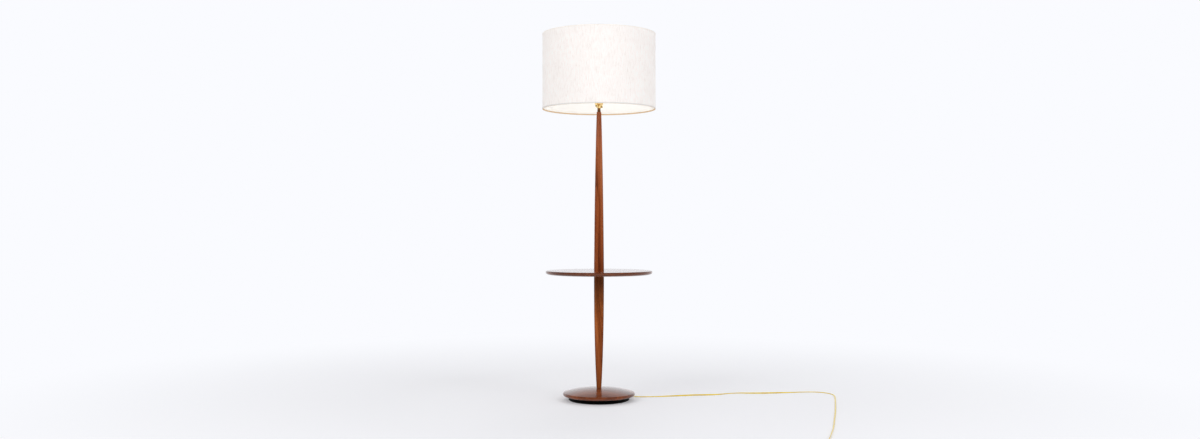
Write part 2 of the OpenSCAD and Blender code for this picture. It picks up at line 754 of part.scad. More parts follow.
module bulb_glass() {
    color("#fffaf0") translate([0, 0, z_glass]) rotate_extrude()
        polygon(concat(glass_outline(0), reversed(glass_outline(glass_wall))));
}

// Places along one side of the harp, from its leg to its top: x, z and the direction of travel
harp_side = concat(
    [[foot_r, z_leg_top - 2, 90]],
    [for (i = [0:5]) let (a = 180 - spread_angle * i / 5)
        [foot_r + leg_bend_r * (1 + cos(a)), z_leg_top + leg_bend_r * sin(a), a - 90]],
    [for (i = [1:8]) let (a = spread_angle * (i / 8 - 1))
        [side_r - side_bend_r * (1 - cos(a)), z_side + side_bend_r * sin(a), a + 90]],
    [for (i = [0:9]) let (a = 10 * i)
        [side_r - corner_r * (1 - cos(a)), z_harp_top - corner_r * (1 - sin(a)), a + 90]]
);

// Both sides of the harp as one run, up one side and down the other
harp_run = concat(harp_side, [for (p = reversed(harp_side)) [-p[0], p[1], 360 - p[2]]]);

// The harp: a spring wire loop, flattened at its top for the stud
module harp_wire() {
    bent_r = wire_d / 2 - 0.02;
    color("#d9b04a") rotate([0, 0, harp_angle]) difference() {
        union() {
            for (side = [-1, 1]) translate([side * foot_r, 0, z_seat])
                cylinder(d = wire_d, h = leg_len, $fn = small_fn);
            skin([for (p = harp_run)
                oval_ring([p[0], 0, p[1]], [cos(p[2]), 0, sin(p[2])], [0, 1, 0], bent_r, bent_r, 16)]);
            translate([-top_plate_len / 2, -top_plate_w / 2, z_harp_top - top_plate_t / 2])
                cube([top_plate_len, top_plate_w, top_plate_t]);
        }
        translate([0, 0, z_harp_top - wire_d]) cylinder(d = rivet_d + 2 * seat_fit, h = 2 * wire_d);
        for (side = [-1, 1])
            translate([-top_plate_len, -top_plate_w, side * (top_plate_t / 2 + wire_d / 2) + z_harp_top - wire_d / 2])
                translate([top_plate_len / 2, 0, 0]) cube([top_plate_len, 2 * top_plate_w, wire_d]);
    }
}

// The threaded stud riveted through the harp's top, with the flange under the shade
module harp_stud() {
    z_plate = z_harp_top - top_plate_t / 2;
    color("#d9b04a") {
        translate([0, 0, z_plate - rivet_head_h]) cylinder(d = rivet_head_d, h = rivet_head_h);
        translate([0, 0, z_plate]) cylinder(d = rivet_d, h = top_plate_t);
        translate([0, 0, z_flange]) cylinder(d = flange_d, h = flange_t);
        translate([0, 0, z_stud_seat]) cylinder(d = stud_d, h = stud_len);
    }
}

// A sleeve that drops over the harp's foot and the saddle's prong; side is -1 or 1
module ferrule(side) {
    roof = 2.5;
    color("#e0b550") rotate([0, 0, harp_angle]) translate([side * foot_r, 0, z_seat + turn_gap])
        difference() {
            cylinder(d = ferrule_d, h = ferrule_len);
            translate([0, 0, -1]) cylinder(d = ferrule_bore_d, h = ferrule_len - roof + 1);
            cylinder(d = wire_d + 2 * run_fit, h = ferrule_len + 1);
        }
}

module ferrule_left() {
    ferrule(-1);
}

module ferrule_right() {
    ferrule(1);
}

// A wire ring of the shade at height z
module shade_ring(z) {
    translate([0, 0, z]) rotate_extrude() translate([ring_r, 0]) circle(d = ring_wire_d, $fn = small_fn);
}

// The spider: a washer on the stud and arms that rise to the top ring
module shade_spider() {
    washer_z = z_spider + spider_t / 2;
    arm_start = spider_d / 2 - 3;
    run = ring_r - arm_start;
    rise = z_top_ring - washer_z;
    color("white") {
        translate([0, 0, z_spider]) washer(spider_d, stud_d + 2 * run_fit, spider_t);
        for (i = [0:arm_count - 1])
            rotate([0, 0, harp_angle + 90 + 360 / arm_count * i]) translate([arm_start, 0, washer_z])
                rotate([0, 90 - atan2(rise, run), 0]) cylinder(d = arm_d, h = norm([run, rise]));
        shade_ring(z_top_ring);
    }
}

module shade_bottom_ring() {
    color("white") shade_ring(z_bottom_ring);
}

// The stiffened fabric of the drum
module shade_drum() {
    color("linen") translate([0, 0, z_shade + trim_t + trim_fit])
        washer(shade_d, shade_d - 2 * fabric_t, shade_h - 2 * (trim_t + trim_fit));
}

// Trim tape folded round the edge of the drum and its ring: a channel, open upwards
module trim_channel() {
    rotate_extrude() polygon([
        [trim_inner_r, 0], [trim_outer_r, 0], [trim_outer_r, trim_h],
        [trim_outer_r - trim_t, trim_h], [trim_outer_r - trim_t, trim_t],
        [trim_inner_r + trim_t, trim_t], [trim_inner_r + trim_t, trim_h], [trim_inner_r, trim_h]
    ]);
}

// The upper trim goes round the outside only, clear of the spider's arms
module shade_top_trim() {
    color("antiquewhite") translate([0, 0, z_shade_top]) mirror([0, 0, 1]) rotate_extrude() polygon([
        [ring_r, 0], [trim_outer_r, 0], [trim_outer_r, trim_h],
        [trim_outer_r - trim_t, trim_h], [trim_outer_r - trim_t, trim_t], [ring_r, trim_t]
    ]);
}

module shade_bottom_trim() {
    color("antiquewhite") translate([0, 0, z_shade]) trim_channel();
}

// The washer under the finial
module finial_washer() {
    color("#d9b04a") translate([0, 0, z_finial_washer])
        washer(finial_washer_d, stud_d + 2 * run_fit, finial_washer_t);
}

// The finial: a foot, a waist and a ball, bored for the stud
module finial() {
    ball_r = finial_d / 2;
    foot_h = 3;
    waist_r = stud_d / 2 + 1.6;
    ball_z = finial_h - ball_r;
    start = -50;
    color("#d9b04a") translate([0, 0, z_finial]) difference() {
        rotate_extrude() polygon(concat(
            [[0, 0], [finial_foot_d / 2, 0], [finial_foot_d / 2, foot_h - 1],
                [finial_foot_d / 2 - 1, foot_h]],
            [[waist_r, foot_h + 2]],
            arc_points([0, ball_z], ball_r, start, 90, 18)
        ));
        translate([0, 0, -1]) cylinder(d = stud_d + 2 * run_fit, h = stud_len + 1);
    }
}

// A flat oval of the cord's proportions, grown by fit on every side
module cord_hole(fit) {
    hull() for (side = [-1, 1])
        translate([side * (cord_w - cord_t) / 2, 0]) circle(d = cord_t + 2 * fit, $fn = small_fn);
}

// The strain relief: a body in the weight's slot, a flange and a tapered nose
module cord_relief() {
    body_h = slot_top - z_weight - 0.2;
    flange_h = 2;
    hole_fit = 0.15;
    color("#2a211c") rotate([0, 0, cord_angle]) translate([weight_d / 2, 0, cord_exit_z])
        rotate([90, 0, 90]) difference() {
            union() {
                translate([-slot_w / 2 + 0.1, z_weight + 0.1 - cord_exit_z, -relief_body_len])
                    cube([slot_w - 0.2, body_h, relief_body_len + flange_h / 2]);
                linear_extrude(flange_h) circle(d = 2 * cord_exit_z - 0.6);
                hull() {
                    linear_extrude(flange_h) cord_hole(2.4);
                    linear_extrude(relief_len) cord_hole(0.9);
                }
            }
            translate([0, 0, -relief_body_len - 1]) linear_extrude(relief_len + relief_body_len + 2)
                cord_hole(hole_fit);
        }
}

// The free stretch of the cord, from the relief to the coil
module cord() {
    steps = 3;
    spans = len(cord_route) - 1;
    fine = concat(
        [for (i = [0:spans - 1], j = [0:steps - 1]) route_point(cord_route, i, j / steps)],
        [cord_route[spans]]
    );
    last = len(fine) - 1;
    color("#e0c860") skin([for (i = [0:last])
        let (a = laid(fine[max(i - 1, 0)]), b = laid(fine[min(i + 1, last)]))
        cord_ring(laid(fine[i]), i == 0 ? cord_out : unit(b - a), fine[i][3], 8)]);
}

// Rings of the coil: it winds in on the floor, climbs where it turns back, and winds out above
coil_steps = 24;
function coil_r(phi) = coil_in_r + coil_pitch * abs(phi - 180 * coil_turns) / 360;

function coil_ring(phi) =
    let (off = phi - 180 * coil_turns, r = coil_r(phi),
        climb = min(1, max(0, (off + 90) / 180)), ease = climb * climb * (3 - 2 * climb),
        z = coil_z1 + (coil_z2 - coil_z1) * ease)
    cord_ring([coil_centre[0] + r * cos(phi), coil_centre[1] - r * sin(phi), z],
        [-sin(phi), -cos(phi), 0], 90, 6);

coil_turn_rings = [for (i = [0:coil_steps * coil_turns]) coil_ring(360 * i / coil_steps)];

// The tail that leaves the upper layer and comes down to the plug
tail_rings = [for (t = [0.25, 0.5, 0.75, 1])
    let (drop = min(1, t / 0.75), ease = drop * drop * (3 - 2 * drop))
    cord_ring([coil_centre[0] - tail_len * t, plug_exit[1], coil_z2 + (plug_exit[2] - coil_z2) * ease],
        [-1, 0, 0], 90, 6)];

coil_rings = concat([cord_ring(coil_entry, [0, -1, 0], 90, 6)], coil_turn_rings, tail_rings);

// The least distance between points of turns that lie beside or on each other
module print_coil_gap() {
    apart = coil_steps / 2;
    last = len(coil_turn_rings) - 1;
    gap = min([for (i = [0:last - apart], j = [i + apart:last])
        if (norm(coil_turn_rings[i][0] - coil_turn_rings[j][0]) < 3 * cord_w)
            min([for (a = coil_turn_rings[i], b = coil_turn_rings[j]) norm(a - b)])]);
    echo(least_gap_between_turns = gap);
}

module cord_coil() {
    print_coil_gap();
    color("#e0c860") skin(coil_rings);
}

// The tie: a closed band round all the turns of the coil
module cord_tie() {
    slack = 0.3;
    held_r = [for (k = [0:coil_turns - 1]) coil_r(270 + 360 * k)];
    inner_x = min(held_r) - cord_t / 2 - slack;
    inner_w = max(held_r) - min(held_r) + cord_t + 2 * slack;
    inner_h = coil_z2 + cord_w / 2 + slack - tie_t;
    color("#202020") translate([coil_centre[0], coil_centre[1], 0]) rotate([0, 0, 90])
        translate([0, -tie_w / 2, 0]) difference() {
            translate([inner_x - tie_t, 0, 0]) cube([inner_w + 2 * tie_t, tie_w, inner_h + 2 * tie_t]);
            translate([inner_x, -1, tie_t]) cube([inner_w, tie_w + 2, inner_h]);
        }
}

// Outline of the plug's body seen from above, from the cord to the blades, drawn in by inset
module plug_outline(inset) {
    corner = 3.5;
    offset(r = corner - inset, $fn = small_fn) offset(delta = -corner) polygon([
        [0, -plug_taper_w / 2], [plug_len * 0.45, -plug_w / 2], [plug_len, -plug_w / 2],
        [plug_len, plug_w / 2], [plug_len * 0.45, plug_w / 2], [0, plug_taper_w / 2]
    ]);
}

// The plug's moulded body, lying on the floor beside the coil
module plug_body() {
    bevel = 1.8;
    color("#3a2a20") translate([plug_exit[0], plug_exit[1], 0]) rotate([0, 0, 180]) hull() {
        linear_extrude(plug_t) plug_outline(bevel);
        translate([0, 0, bevel]) linear_extrude(plug_t - 2 * bevel) plug_outline(0);
    }
}

// The plug's two flat blades, each with its round hole
module plug_blades() {
    blade_w = 6.35;
    blade_t = 1.5;
    color("#c99a3c") translate([plug_exit[0], plug_exit[1], plug_exit[2]]) rotate([0, 0, 180])
        for (side = [-1, 1]) translate([plug_len, side * blade_pitch / 2, 0])
            rotate([90, 0, 0]) translate([0, 0, -blade_t / 2]) difference() {
                union() {
                    translate([0, -blade_w / 2, 0]) cube([blade_len - blade_w / 2, blade_w, blade_t]);
                    translate([blade_len - blade_w / 2, 0, 0]) cylinder(d = blade_w, h = blade_t);
                }
                translate([blade_len - blade_w / 2 - 1, 0, -1]) cylinder(d = 3, h = blade_t + 2);
            }
}

felt_pad();
base_weight();
base_screws();
base_dome();
pipe_washer();
pipe_nut();
threaded_pipe();
inner_lead();
lower_column();
table_top();
upper_column();
brass_neck();
harp_saddle();
socket_cap();
cap_lock_screw();
socket_core();
contact_shell();
insulating_sleeve();
socket_shell();
switch_stem();
switch_knob();
bulb_contact();
bulb_cap();
bulb_glass();
harp_wire();
harp_stud();
ferrule_left();
ferrule_right();
shade_spider();
shade_bottom_ring();
shade_drum();
shade_top_trim();
shade_bottom_trim();
finial_washer();
finial();
cord_relief();
cord();
cord_coil();
cord_tie();
plug_body();
plug_blades();
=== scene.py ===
"""Floor lamp with a round table: its looks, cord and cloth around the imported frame. Metres."""

import json
import math

import bpy
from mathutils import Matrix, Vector

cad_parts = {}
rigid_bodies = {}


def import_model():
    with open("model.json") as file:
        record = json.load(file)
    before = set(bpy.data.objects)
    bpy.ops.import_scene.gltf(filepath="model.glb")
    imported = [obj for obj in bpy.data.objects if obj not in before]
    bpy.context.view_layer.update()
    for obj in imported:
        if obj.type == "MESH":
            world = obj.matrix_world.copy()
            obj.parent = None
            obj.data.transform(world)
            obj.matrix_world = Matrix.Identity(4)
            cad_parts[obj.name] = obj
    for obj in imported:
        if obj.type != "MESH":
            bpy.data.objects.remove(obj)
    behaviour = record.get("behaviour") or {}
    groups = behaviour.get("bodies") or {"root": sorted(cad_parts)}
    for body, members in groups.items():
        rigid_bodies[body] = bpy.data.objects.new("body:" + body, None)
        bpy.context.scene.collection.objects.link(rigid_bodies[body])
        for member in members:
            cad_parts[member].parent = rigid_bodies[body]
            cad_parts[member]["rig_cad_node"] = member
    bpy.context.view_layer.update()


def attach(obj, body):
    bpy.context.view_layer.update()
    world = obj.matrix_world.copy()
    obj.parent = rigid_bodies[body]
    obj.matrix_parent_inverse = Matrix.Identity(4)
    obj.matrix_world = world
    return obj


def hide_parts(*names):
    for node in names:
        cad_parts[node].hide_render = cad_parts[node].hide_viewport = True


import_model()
SCENE = bpy.context.scene

# ------------------------------------------------------------------ camera
CAMERA_PLACE = (0.0041, -4.400, 0.7013)
CAMERA_PITCH = 90.375  # degrees; at 90 it looks level
SENSOR_W, LENS = 36, 32.58  # millimetres
CLIP_END = 60

cam_data = bpy.data.cameras.new("camera")
camera = bpy.data.objects.new("camera", cam_data)
SCENE.collection.objects.link(camera)
cam_data.sensor_width = SENSOR_W
cam_data.lens = LENS
cam_data.clip_end = CLIP_END
camera.location = CAMERA_PLACE
camera.rotation_euler = (math.radians(CAMERA_PITCH), 0, 0)
SCENE.camera = camera


# ------------------------------------------------------------------ mesh helpers
def mesh_object(name, verts, faces, sharp, uvs=None, mats=None):
    """A smooth-shaded mesh. Edges over sharp degrees stay crisp. uvs go by vertex, mats by face."""
    me = bpy.data.meshes.new(name)
    me.from_pydata([tuple(v) for v in verts], [], faces)
    me.update()
    if uvs:
        layer = me.uv_layers.new(name="UVMap")
        for poly in me.polygons:
            for li, vi in zip(poly.loop_indices, poly.vertices):
                layer.data[li].uv = uvs[vi]
    if mats:
        me.polygons.foreach_set("material_index", mats)
    me.shade_smooth()
    if sharp:
        me.set_sharp_from_angle(angle=math.radians(sharp))
    ob = bpy.data.objects.new(name, me)
    SCENE.collection.objects.link(ob)
    return ob


def skin(name, rings, sharp, loop=False, uvs=None, mat_of=None):
    """A skin over closed rings of equal length, capped at both ends. loop joins the last ring to
    the first instead. mat_of(i, k) is the slot of face k between ring i and the next one."""
    n, m = len(rings[0]), len(rings)
    verts = [p for ring in rings for p in ring]
    faces, mats = [], []
    for i in range(m if loop else m - 1):
        a, b = i * n, (i + 1) % m * n
        for k in range(n):
            q = (k + 1) % n
            faces.append((a + k, a + q, b + q, b + k))
            mats.append(mat_of(i, k) if mat_of else 0)
    if not loop:
        faces.append(tuple(reversed(range(n))))
        faces.append(tuple(range((m - 1) * n, m * n)))
        mats += [0, 0]
    flat_uvs = [uv for ring in uvs for uv in ring] if uvs else None
    return mesh_object(name, verts, faces, sharp, flat_uvs, mats if mat_of else None)


def polar(r, a, z):
    """The point at radius r and angle a round the lamp's axis."""
    return (r * math.cos(a), r * math.sin(a), z)


def turned(name, outline, n, shift, sharp, mat_of=None):
    """A solid turned in n steps. outline is (r, z) round its section; shift(i, r, z, a) moves r."""
    rings = []
    for j in range(n):
        a = math.tau * j / n
        rings.append([polar(r + shift(i, r, z, a), a, z) for i, (r, z) in enumerate(outline)])
    # ring order runs round the axis; reversing it keeps the faces outward
    return skin(name, rings[::-1], sharp, loop=True, mat_of=mat_of)


def smooth01(x):
    """x eased from 0 to 1, and held there outside."""
    x = min(1.0, max(0.0, x))
    return x * x * (3 - 2 * x)


def ripple(x, pitch, phase=0.0):
    """A round wave with one crest to each pitch: 0 at its start, 1 halfway."""
    return 0.5 - 0.5 * math.cos(math.tau * x / pitch - phase)


def wobble(*x):
    """An uneven but repeatable wave between -1 and 1."""
    s = 0.0
    for i, v in enumerate(x):
        s += math.sin(v * (1.0 + 0.31 * i) + 1.7 * i) + 0.5 * math.sin(2.3 * v + 0.9 * i + 1.1)
    return s / (1.5 * len(x))


# ------------------------------------------------------------------ the cord, as in the source
# lengths from here to the shader helpers are in millimetres, and MM brings them to metres
MM = 0.001
UP = Vector((0, 0, 1))
ACROSS, BACKWARD = Vector((-1, 0, 0)), Vector((0, 1, 0))
CORD_W, CORD_T = 5.4, 2.8
CORD_ANGLE = math.radians(21)
OUT = Vector((math.cos(CORD_ANGLE), math.sin(CORD_ANGLE), 0))
EXIT_R, EXIT_Z = 145, 5.6
LEAD_OUT, LEAD_IN = 12, 40  # straight pieces at the relief and before the coil
EXIT = Vector((EXIT_R * math.cos(CORD_ANGLE), EXIT_R * math.sin(CORD_ANGLE), EXIT_Z))
COIL_C = (700.0, -960.0)
COIL_TURNS, COIL_PITCH, COIL_R = 3.25, 3.6, 30
COIL_IN = COIL_R - COIL_PITCH * COIL_TURNS / 4
COIL_OUT = COIL_IN + COIL_PITCH * COIL_TURNS / 2
COIL_Z1 = 3.6
COIL_Z2 = COIL_Z1 + CORD_W + 0.6
PLUG_RUN, PLUG_Z = 24, 8
PLUG = Vector((COIL_C[0] - PLUG_RUN, COIL_C[1] - COIL_OUT, PLUG_Z))
ROUTE_STEPS, TURN_STEPS, PLUG_STEPS = 8, 40, 8


def rest_height(roll):
    """Half the height of the source's oval section when it is rolled by so many degrees."""
    a = math.radians(roll)
    return math.hypot(CORD_W / 2 * math.sin(a), CORD_T / 2 * math.cos(a))


def lie_height(roll):
    """The same for the figure of eight, which stands a little higher."""
    return (CORD_W - CORD_T) / 2 * abs(math.sin(math.radians(roll))) + CORD_T / 2


ENTRY = (COIL_C[0] + COIL_OUT, COIL_C[1] + CORD_W)
exit_lift = EXIT_Z - rest_height(0)
coil_lift = COIL_Z1 - rest_height(90)
# x, y, lift off the floor and roll
ROUTE = [
    (EXIT.x, EXIT.y, exit_lift, 0),
    (EXIT.x + LEAD_OUT * OUT.x, EXIT.y + LEAD_OUT * OUT.y, exit_lift - 0.4, 0),
    (184, 69, 0.6, 0), (245, 78, 0, 10), (330, 95, 0, 60), (390, 110, 0, 80), (450, 117, 0, 70),
    (495, 131, 0, 30), (540, 158, 0, 0), (585, 172, 0, 10), (640, 165, 0, 40), (695, 165, 0, 70),
    (750, 174, 0, 50), (805, 185, 0, 20), (860, 199, 0, 0), (910, 201, 0, 0), (948, 182, 0, 0),
    (970, 146, 0, 0), (973, 96, 0, 10), (958, 10, 0, 20), (931, -120, 0, 30), (895, -285, 0, 10),
    (855, -455, 0, 20), (818, -610, 0, 40), (785, -730, 0, 60), (755, -835, 0, 80),
    (ENTRY[0], ENTRY[1] + LEAD_IN, coil_lift, 90),
    (ENTRY[0], ENTRY[1], coil_lift, 90),
]


def route_point(i, t):
    """The Catmull-Rom curve at share t of the way from ROUTE[i] to the next point."""
    b, c = ROUTE[i], ROUTE[i + 1]
    a = ROUTE[i - 1] if i > 0 else [2 * u - v for u, v in zip(b, c)]
    d = ROUTE[i + 2] if i + 2 < len(ROUTE) else [2 * u - v for u, v in zip(c, b)]
    return [0.5 * (2 * y + (z - x) * t + (2 * x - 5 * y + 4 * z - w) * t * t
                   + (3 * y - x - 3 * z + w) * t ** 3)
            for x, y, z, w in zip(a, b, c, d)]


def cord_stations():
    """Centre, direction and roll of every ring, from the base to the plug."""
    pts = [route_point(i, j / ROUTE_STEPS)
           for i in range(len(ROUTE) - 1) for j in range(ROUTE_STEPS)]
    pts.append(ROUTE[-1])
    laid = [Vector((x, y, max(lift + rest_height(roll), lie_height(roll))))
            for x, y, lift, roll in pts]
    out = [(laid[0], OUT, pts[0][3])]
    for i in range(1, len(pts)):
        t = (laid[min(i + 1, len(pts) - 1)] - laid[i - 1]).normalized()
        out.append((laid[i], t, pts[i][3]))
    for i in range(int(TURN_STEPS * COIL_TURNS) + 1):
        phi = 360 * i / TURN_STEPS
        # the turns wind in below and out again above, and cross over in the middle
        off = phi - 180 * COIL_TURNS
        r = COIL_IN + COIL_PITCH * abs(off) / 360
        z = COIL_Z1 + (COIL_Z2 - COIL_Z1) * smooth01((off + 90) / 180)
        a = math.radians(phi)
        out.append((Vector((COIL_C[0] + r * math.cos(a), COIL_C[1] - r * math.sin(a), z)),
                    Vector((-math.sin(a), -math.cos(a), 0)), 90))
    for i in range(1, PLUG_STEPS + 1):
        t = i / PLUG_STEPS
        z = COIL_Z2 + (PLUG.z - COIL_Z2) * smooth01(t / 0.75)
        out.append((Vector((COIL_C[0] - PLUG_RUN * t, PLUG.y, z)), ACROSS, 90))
    return out


def cord_section():
    """The flat twin cord's figure of eight: two round leads and a thin web between them."""
    r, c, pts = CORD_T / 2, (CORD_W - CORD_T) / 2, []
    reach, steps, web = math.radians(128), 10, 0.86
    for side, start in ((1, 0), (-1, math.pi)):
        for i in range(steps + 1):
            a = start - reach + 2 * reach * i / steps
            pts.append((side * c + r * math.cos(a), r * math.sin(a)))
        pts.append((0, side * web))
    return pts


stations = cord_stations()
section = cord_section()
cord_rings, cord_uvs, run = [], [], 0.0
for i, (c, t, roll) in enumerate(stations):
    if i:
        run += (c - stations[i - 1][0]).length
    side = UP.cross(t).normalized()
    up = t.cross(side).normalized()
    a = math.radians(roll)
    wide = math.cos(a) * side + math.sin(a) * up
    thin = t.cross(wide)
    cord_rings.append([(c + u * wide + v * thin) * MM for u, v in section])
    cord_uvs.append([(run * MM, k / len(section)) for k in range(len(section))])
cord = skin("lamp_cord", cord_rings, sharp=60, uvs=cord_uvs)


# ------------------------------------------------------------------ the cord's mouldings and tie
def rounded_box(hw, hh, r, per=5):
    """Points round a rectangle of half sizes hw and hh with corner radius r."""
    r = min(r, hw - 1e-6, hh - 1e-6)
    pts = []
    for cx, cy, a0 in ((hw - r, hh - r, 0), (-hw + r, hh - r, 90),
                       (-hw + r, -hh + r, 180), (hw - r, -hh + r, 270)):
        for i in range(per + 1):
            a = math.radians(a0 + 90 * i / per)
            pts.append((cx + r * math.cos(a), cy + r * math.sin(a)))
    return pts


def oval(a, b, n=24):
    """Points round an oval of half sizes a and b, as many as a rounded_box has."""
    return [(a * math.cos(math.tau * k / n), b * math.sin(math.tau * k / n)) for k in range(n)]


def place_rings(sections, origin, along, wide, high):
    """sections is (distance, points); each becomes a ring square to along."""
    return [[(origin + d * along + u * wide + v * high) * MM for u, v in pts]
            for d, pts in sections]


# the strain relief: a block in the weight's slot, a flange and a ribbed, tapered nose
RELIEF_R = 123  # from the lamp's axis to the flange
BLOCK_W, BLOCK_H, BLOCK_LIFT, BLOCK_ROUND = 4.35, 3.65, 0.05, 1.2  # W and H are half sizes
FLANGE_H = 5.2
NOSE_AT, NOSE_L, NOSE_STEPS = 2.1, 19.9, 32
ROOT_WALL, TIP_WALL = 2.3, 0.85
RIB_FROM, RIB_TO, RIB_PITCH, RIB_DEPTH = 3, 20.5, 3.3, 0.42
relief_sections = []
for d, g in ((-10, 0.5), (-9.4, 0.0), (-5.2, 0.0), (-5.0, 0.35), (-4.2, 0.35), (-4.0, 0), (-0.2, 0),
             (0.02, 0.1)):
    block = rounded_box(BLOCK_W - g, BLOCK_H - g, BLOCK_ROUND)
    relief_sections.append((d, [(u, v + BLOCK_LIFT) for u, v in block]))
for d, r in ((0.06, 4.9), (0.4, 5.25), (1.5, 5.25), (2.0, 4.95)):
    relief_sections.append((d, oval(r, min(r, FLANGE_H))))
for i in range(NOSE_STEPS + 1):
    d = NOSE_AT + NOSE_L * i / NOSE_STEPS
    f = (d - NOSE_AT) / NOSE_L
    wall = ROOT_WALL * (1 - f) + TIP_WALL * f
    rib = RIB_DEPTH * ripple(d - NOSE_AT, RIB_PITCH) if RIB_FROM < d < RIB_TO else 0.0
    relief_sections.append((d, oval(CORD_W / 2 + wall - rib, CORD_T / 2 + wall - rib)))
relief_sections.append((NOSE_AT + NOSE_L, oval(3.2, 1.9)))
relief_at = Vector((RELIEF_R * OUT.x, RELIEF_R * OUT.y, EXIT_Z))
square = Vector((-OUT.y, OUT.x, 0))
relief = skin("cord_strain_relief", place_rings(relief_sections, relief_at, OUT, square, UP),
              sharp=50)

# the plug's moulded body: tapered, with finger grips and a short ribbed neck on the cord
NECK_FROM, NECK_L, NECK_STEPS = -7.5, 7.3, 12
NECK_RIB, NECK_RIB_STEPS = 0.45, 3.0
BODY_FROM, BODY_L, BODY_STEPS = 2.4, 23.2, 36
BODY_W1, BODY_W2, BODY_H, BODY_ROUND, TAPER_L = 6.7, 10.9, 8.0, 3.2, 13.5
GRIP_FROM, GRIP_TO, GRIP_PITCH, GRIP_DEPTH = 8.0, 22.5, 2.9, 0.8
plug_sections = []
for i in range(NECK_STEPS + 1):
    d = NECK_FROM + NECK_L * i / NECK_STEPS
    f = i / NECK_STEPS
    rib = NECK_RIB * ripple(i, NECK_RIB_STEPS)
    hw, hh = 2.3 + 1.7 * f - rib, 3.5 + 1.4 * f - rib
    plug_sections.append((d, rounded_box(hw, hh, min(hw, hh) * 0.95)))
for d, w, h, r in ((0.0, 5.2, 6.4, 3.0), (0.5, 5.9, 7.4, 3.1), (1.6, 6.5, 7.9, 3.2)):
    plug_sections.append((d, rounded_box(w, h, r)))
for i in range(BODY_STEPS + 1):
    d = BODY_FROM + BODY_L * i / BODY_STEPS
    w = BODY_W1 + (BODY_W2 - BODY_W1) * smooth01(d / TAPER_L) ** 0.9
    grip = GRIP_DEPTH * ripple(d - GRIP_FROM, GRIP_PITCH) if GRIP_FROM < d < GRIP_TO else 0.0
    plug_sections.append((d, rounded_box(w - grip, BODY_H - 0.35 * grip, BODY_ROUND)))
for d, g in ((26.0, 0.0), (28.6, 0.0), (29.4, 0.35), (29.85, 0.9), (30.0, 1.6)):
    plug_sections.append((d, rounded_box(11.0 - g, BODY_H - g, 3.4)))
plug = skin("plug_moulding", place_rings(plug_sections, PLUG, ACROSS, BACKWARD, UP), sharp=50)

# the tie: a strap with rounded bends round all the turns, its head and its loose end
TIE_IN, TIE_OUT, TIE_H = 25.02, 33.62, 13.4
STRAP_T, STRAP_W = 0.8, 3.5  # its whole thickness and half its width
HEAD_W, HEAD_H, HEAD_Z = 4.4, 2.6, 8.0  # two half sizes and its middle's height
TAIL_W, TAIL_STEPS, TAIL_TAPER = 2.9, 14, 0.25
bend = rounded_box((TIE_OUT - TIE_IN - STRAP_T) / 2, (TIE_H - STRAP_T) / 2, 1.6, 6)
tie_path = [Vector(((TIE_IN + TIE_OUT) / 2 + u, TIE_H / 2 + v)) for u, v in bend]
tie_rings = []
for i, p in enumerate(tie_path):
    t = (tie_path[(i + 1) % len(tie_path)] - tie_path[i - 1]).normalized()
    ring = []
    for u, v in rounded_box(STRAP_W, STRAP_T / 2, STRAP_T * 0.42, 3):
        o = p + v * Vector((t.y, -t.x))
        ring.append(((COIL_C[0] + u) * MM, (COIL_C[1] + o.x) * MM, o.y * MM))
    tie_rings.append(ring)
tie = skin("cord_tie_strap", tie_rings, sharp=40, loop=True)
head_sections = [(d, rounded_box(HEAD_W - g, HEAD_H - g, 0.9)) for d, g in
                 ((0.0, 0.0), (0.3, 0.0), (2.3, 0.0), (2.75, 0.25), (2.9, 0.7))]
head_at = Vector((COIL_C[0], COIL_C[1] + TIE_OUT, HEAD_Z))
tie_head = skin("cord_tie_head", place_rings(head_sections, head_at, BACKWARD, ACROSS, UP),
                sharp=40)
# the loose end rises out of the head and leans away from the coil
tail_rings = []
for i in range(TAIL_STEPS + 1):
    f = i / TAIL_STEPS
    taper = 1 - TAIL_TAPER * smooth01((f - 0.8) / 0.2)
    tail_rings.append([((COIL_C[0] + u * taper) * MM,
                        (COIL_C[1] + TIE_OUT + 1.45 + 2.2 * f * f + v) * MM,
                        (10.4 + 13 * f - 5.5 * f * f) * MM)
                       for u, v in rounded_box(TAIL_W, STRAP_T / 2, 0.3, 3)])
tie_tail = skin("cord_tie_tail", tail_rings, sharp=40)

for ob in (cord, relief, plug, tie, tie_head, tie_tail):
    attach(ob, "stand")
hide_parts("cord", "cord_coil")
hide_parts("cord_relief")
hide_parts("plug_body")
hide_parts("cord_tie")


# ------------------------------------------------------------------ shader helpers
def lin(*rgb):
    """An 8-bit display colour as the opaque linear one that sockets take."""
    return (*[c / 12.92 if c <= 0.04045 else ((c + 0.055) / 1.055) ** 2.4
              for c in (v / 255 for v in rgb)], 1.0)


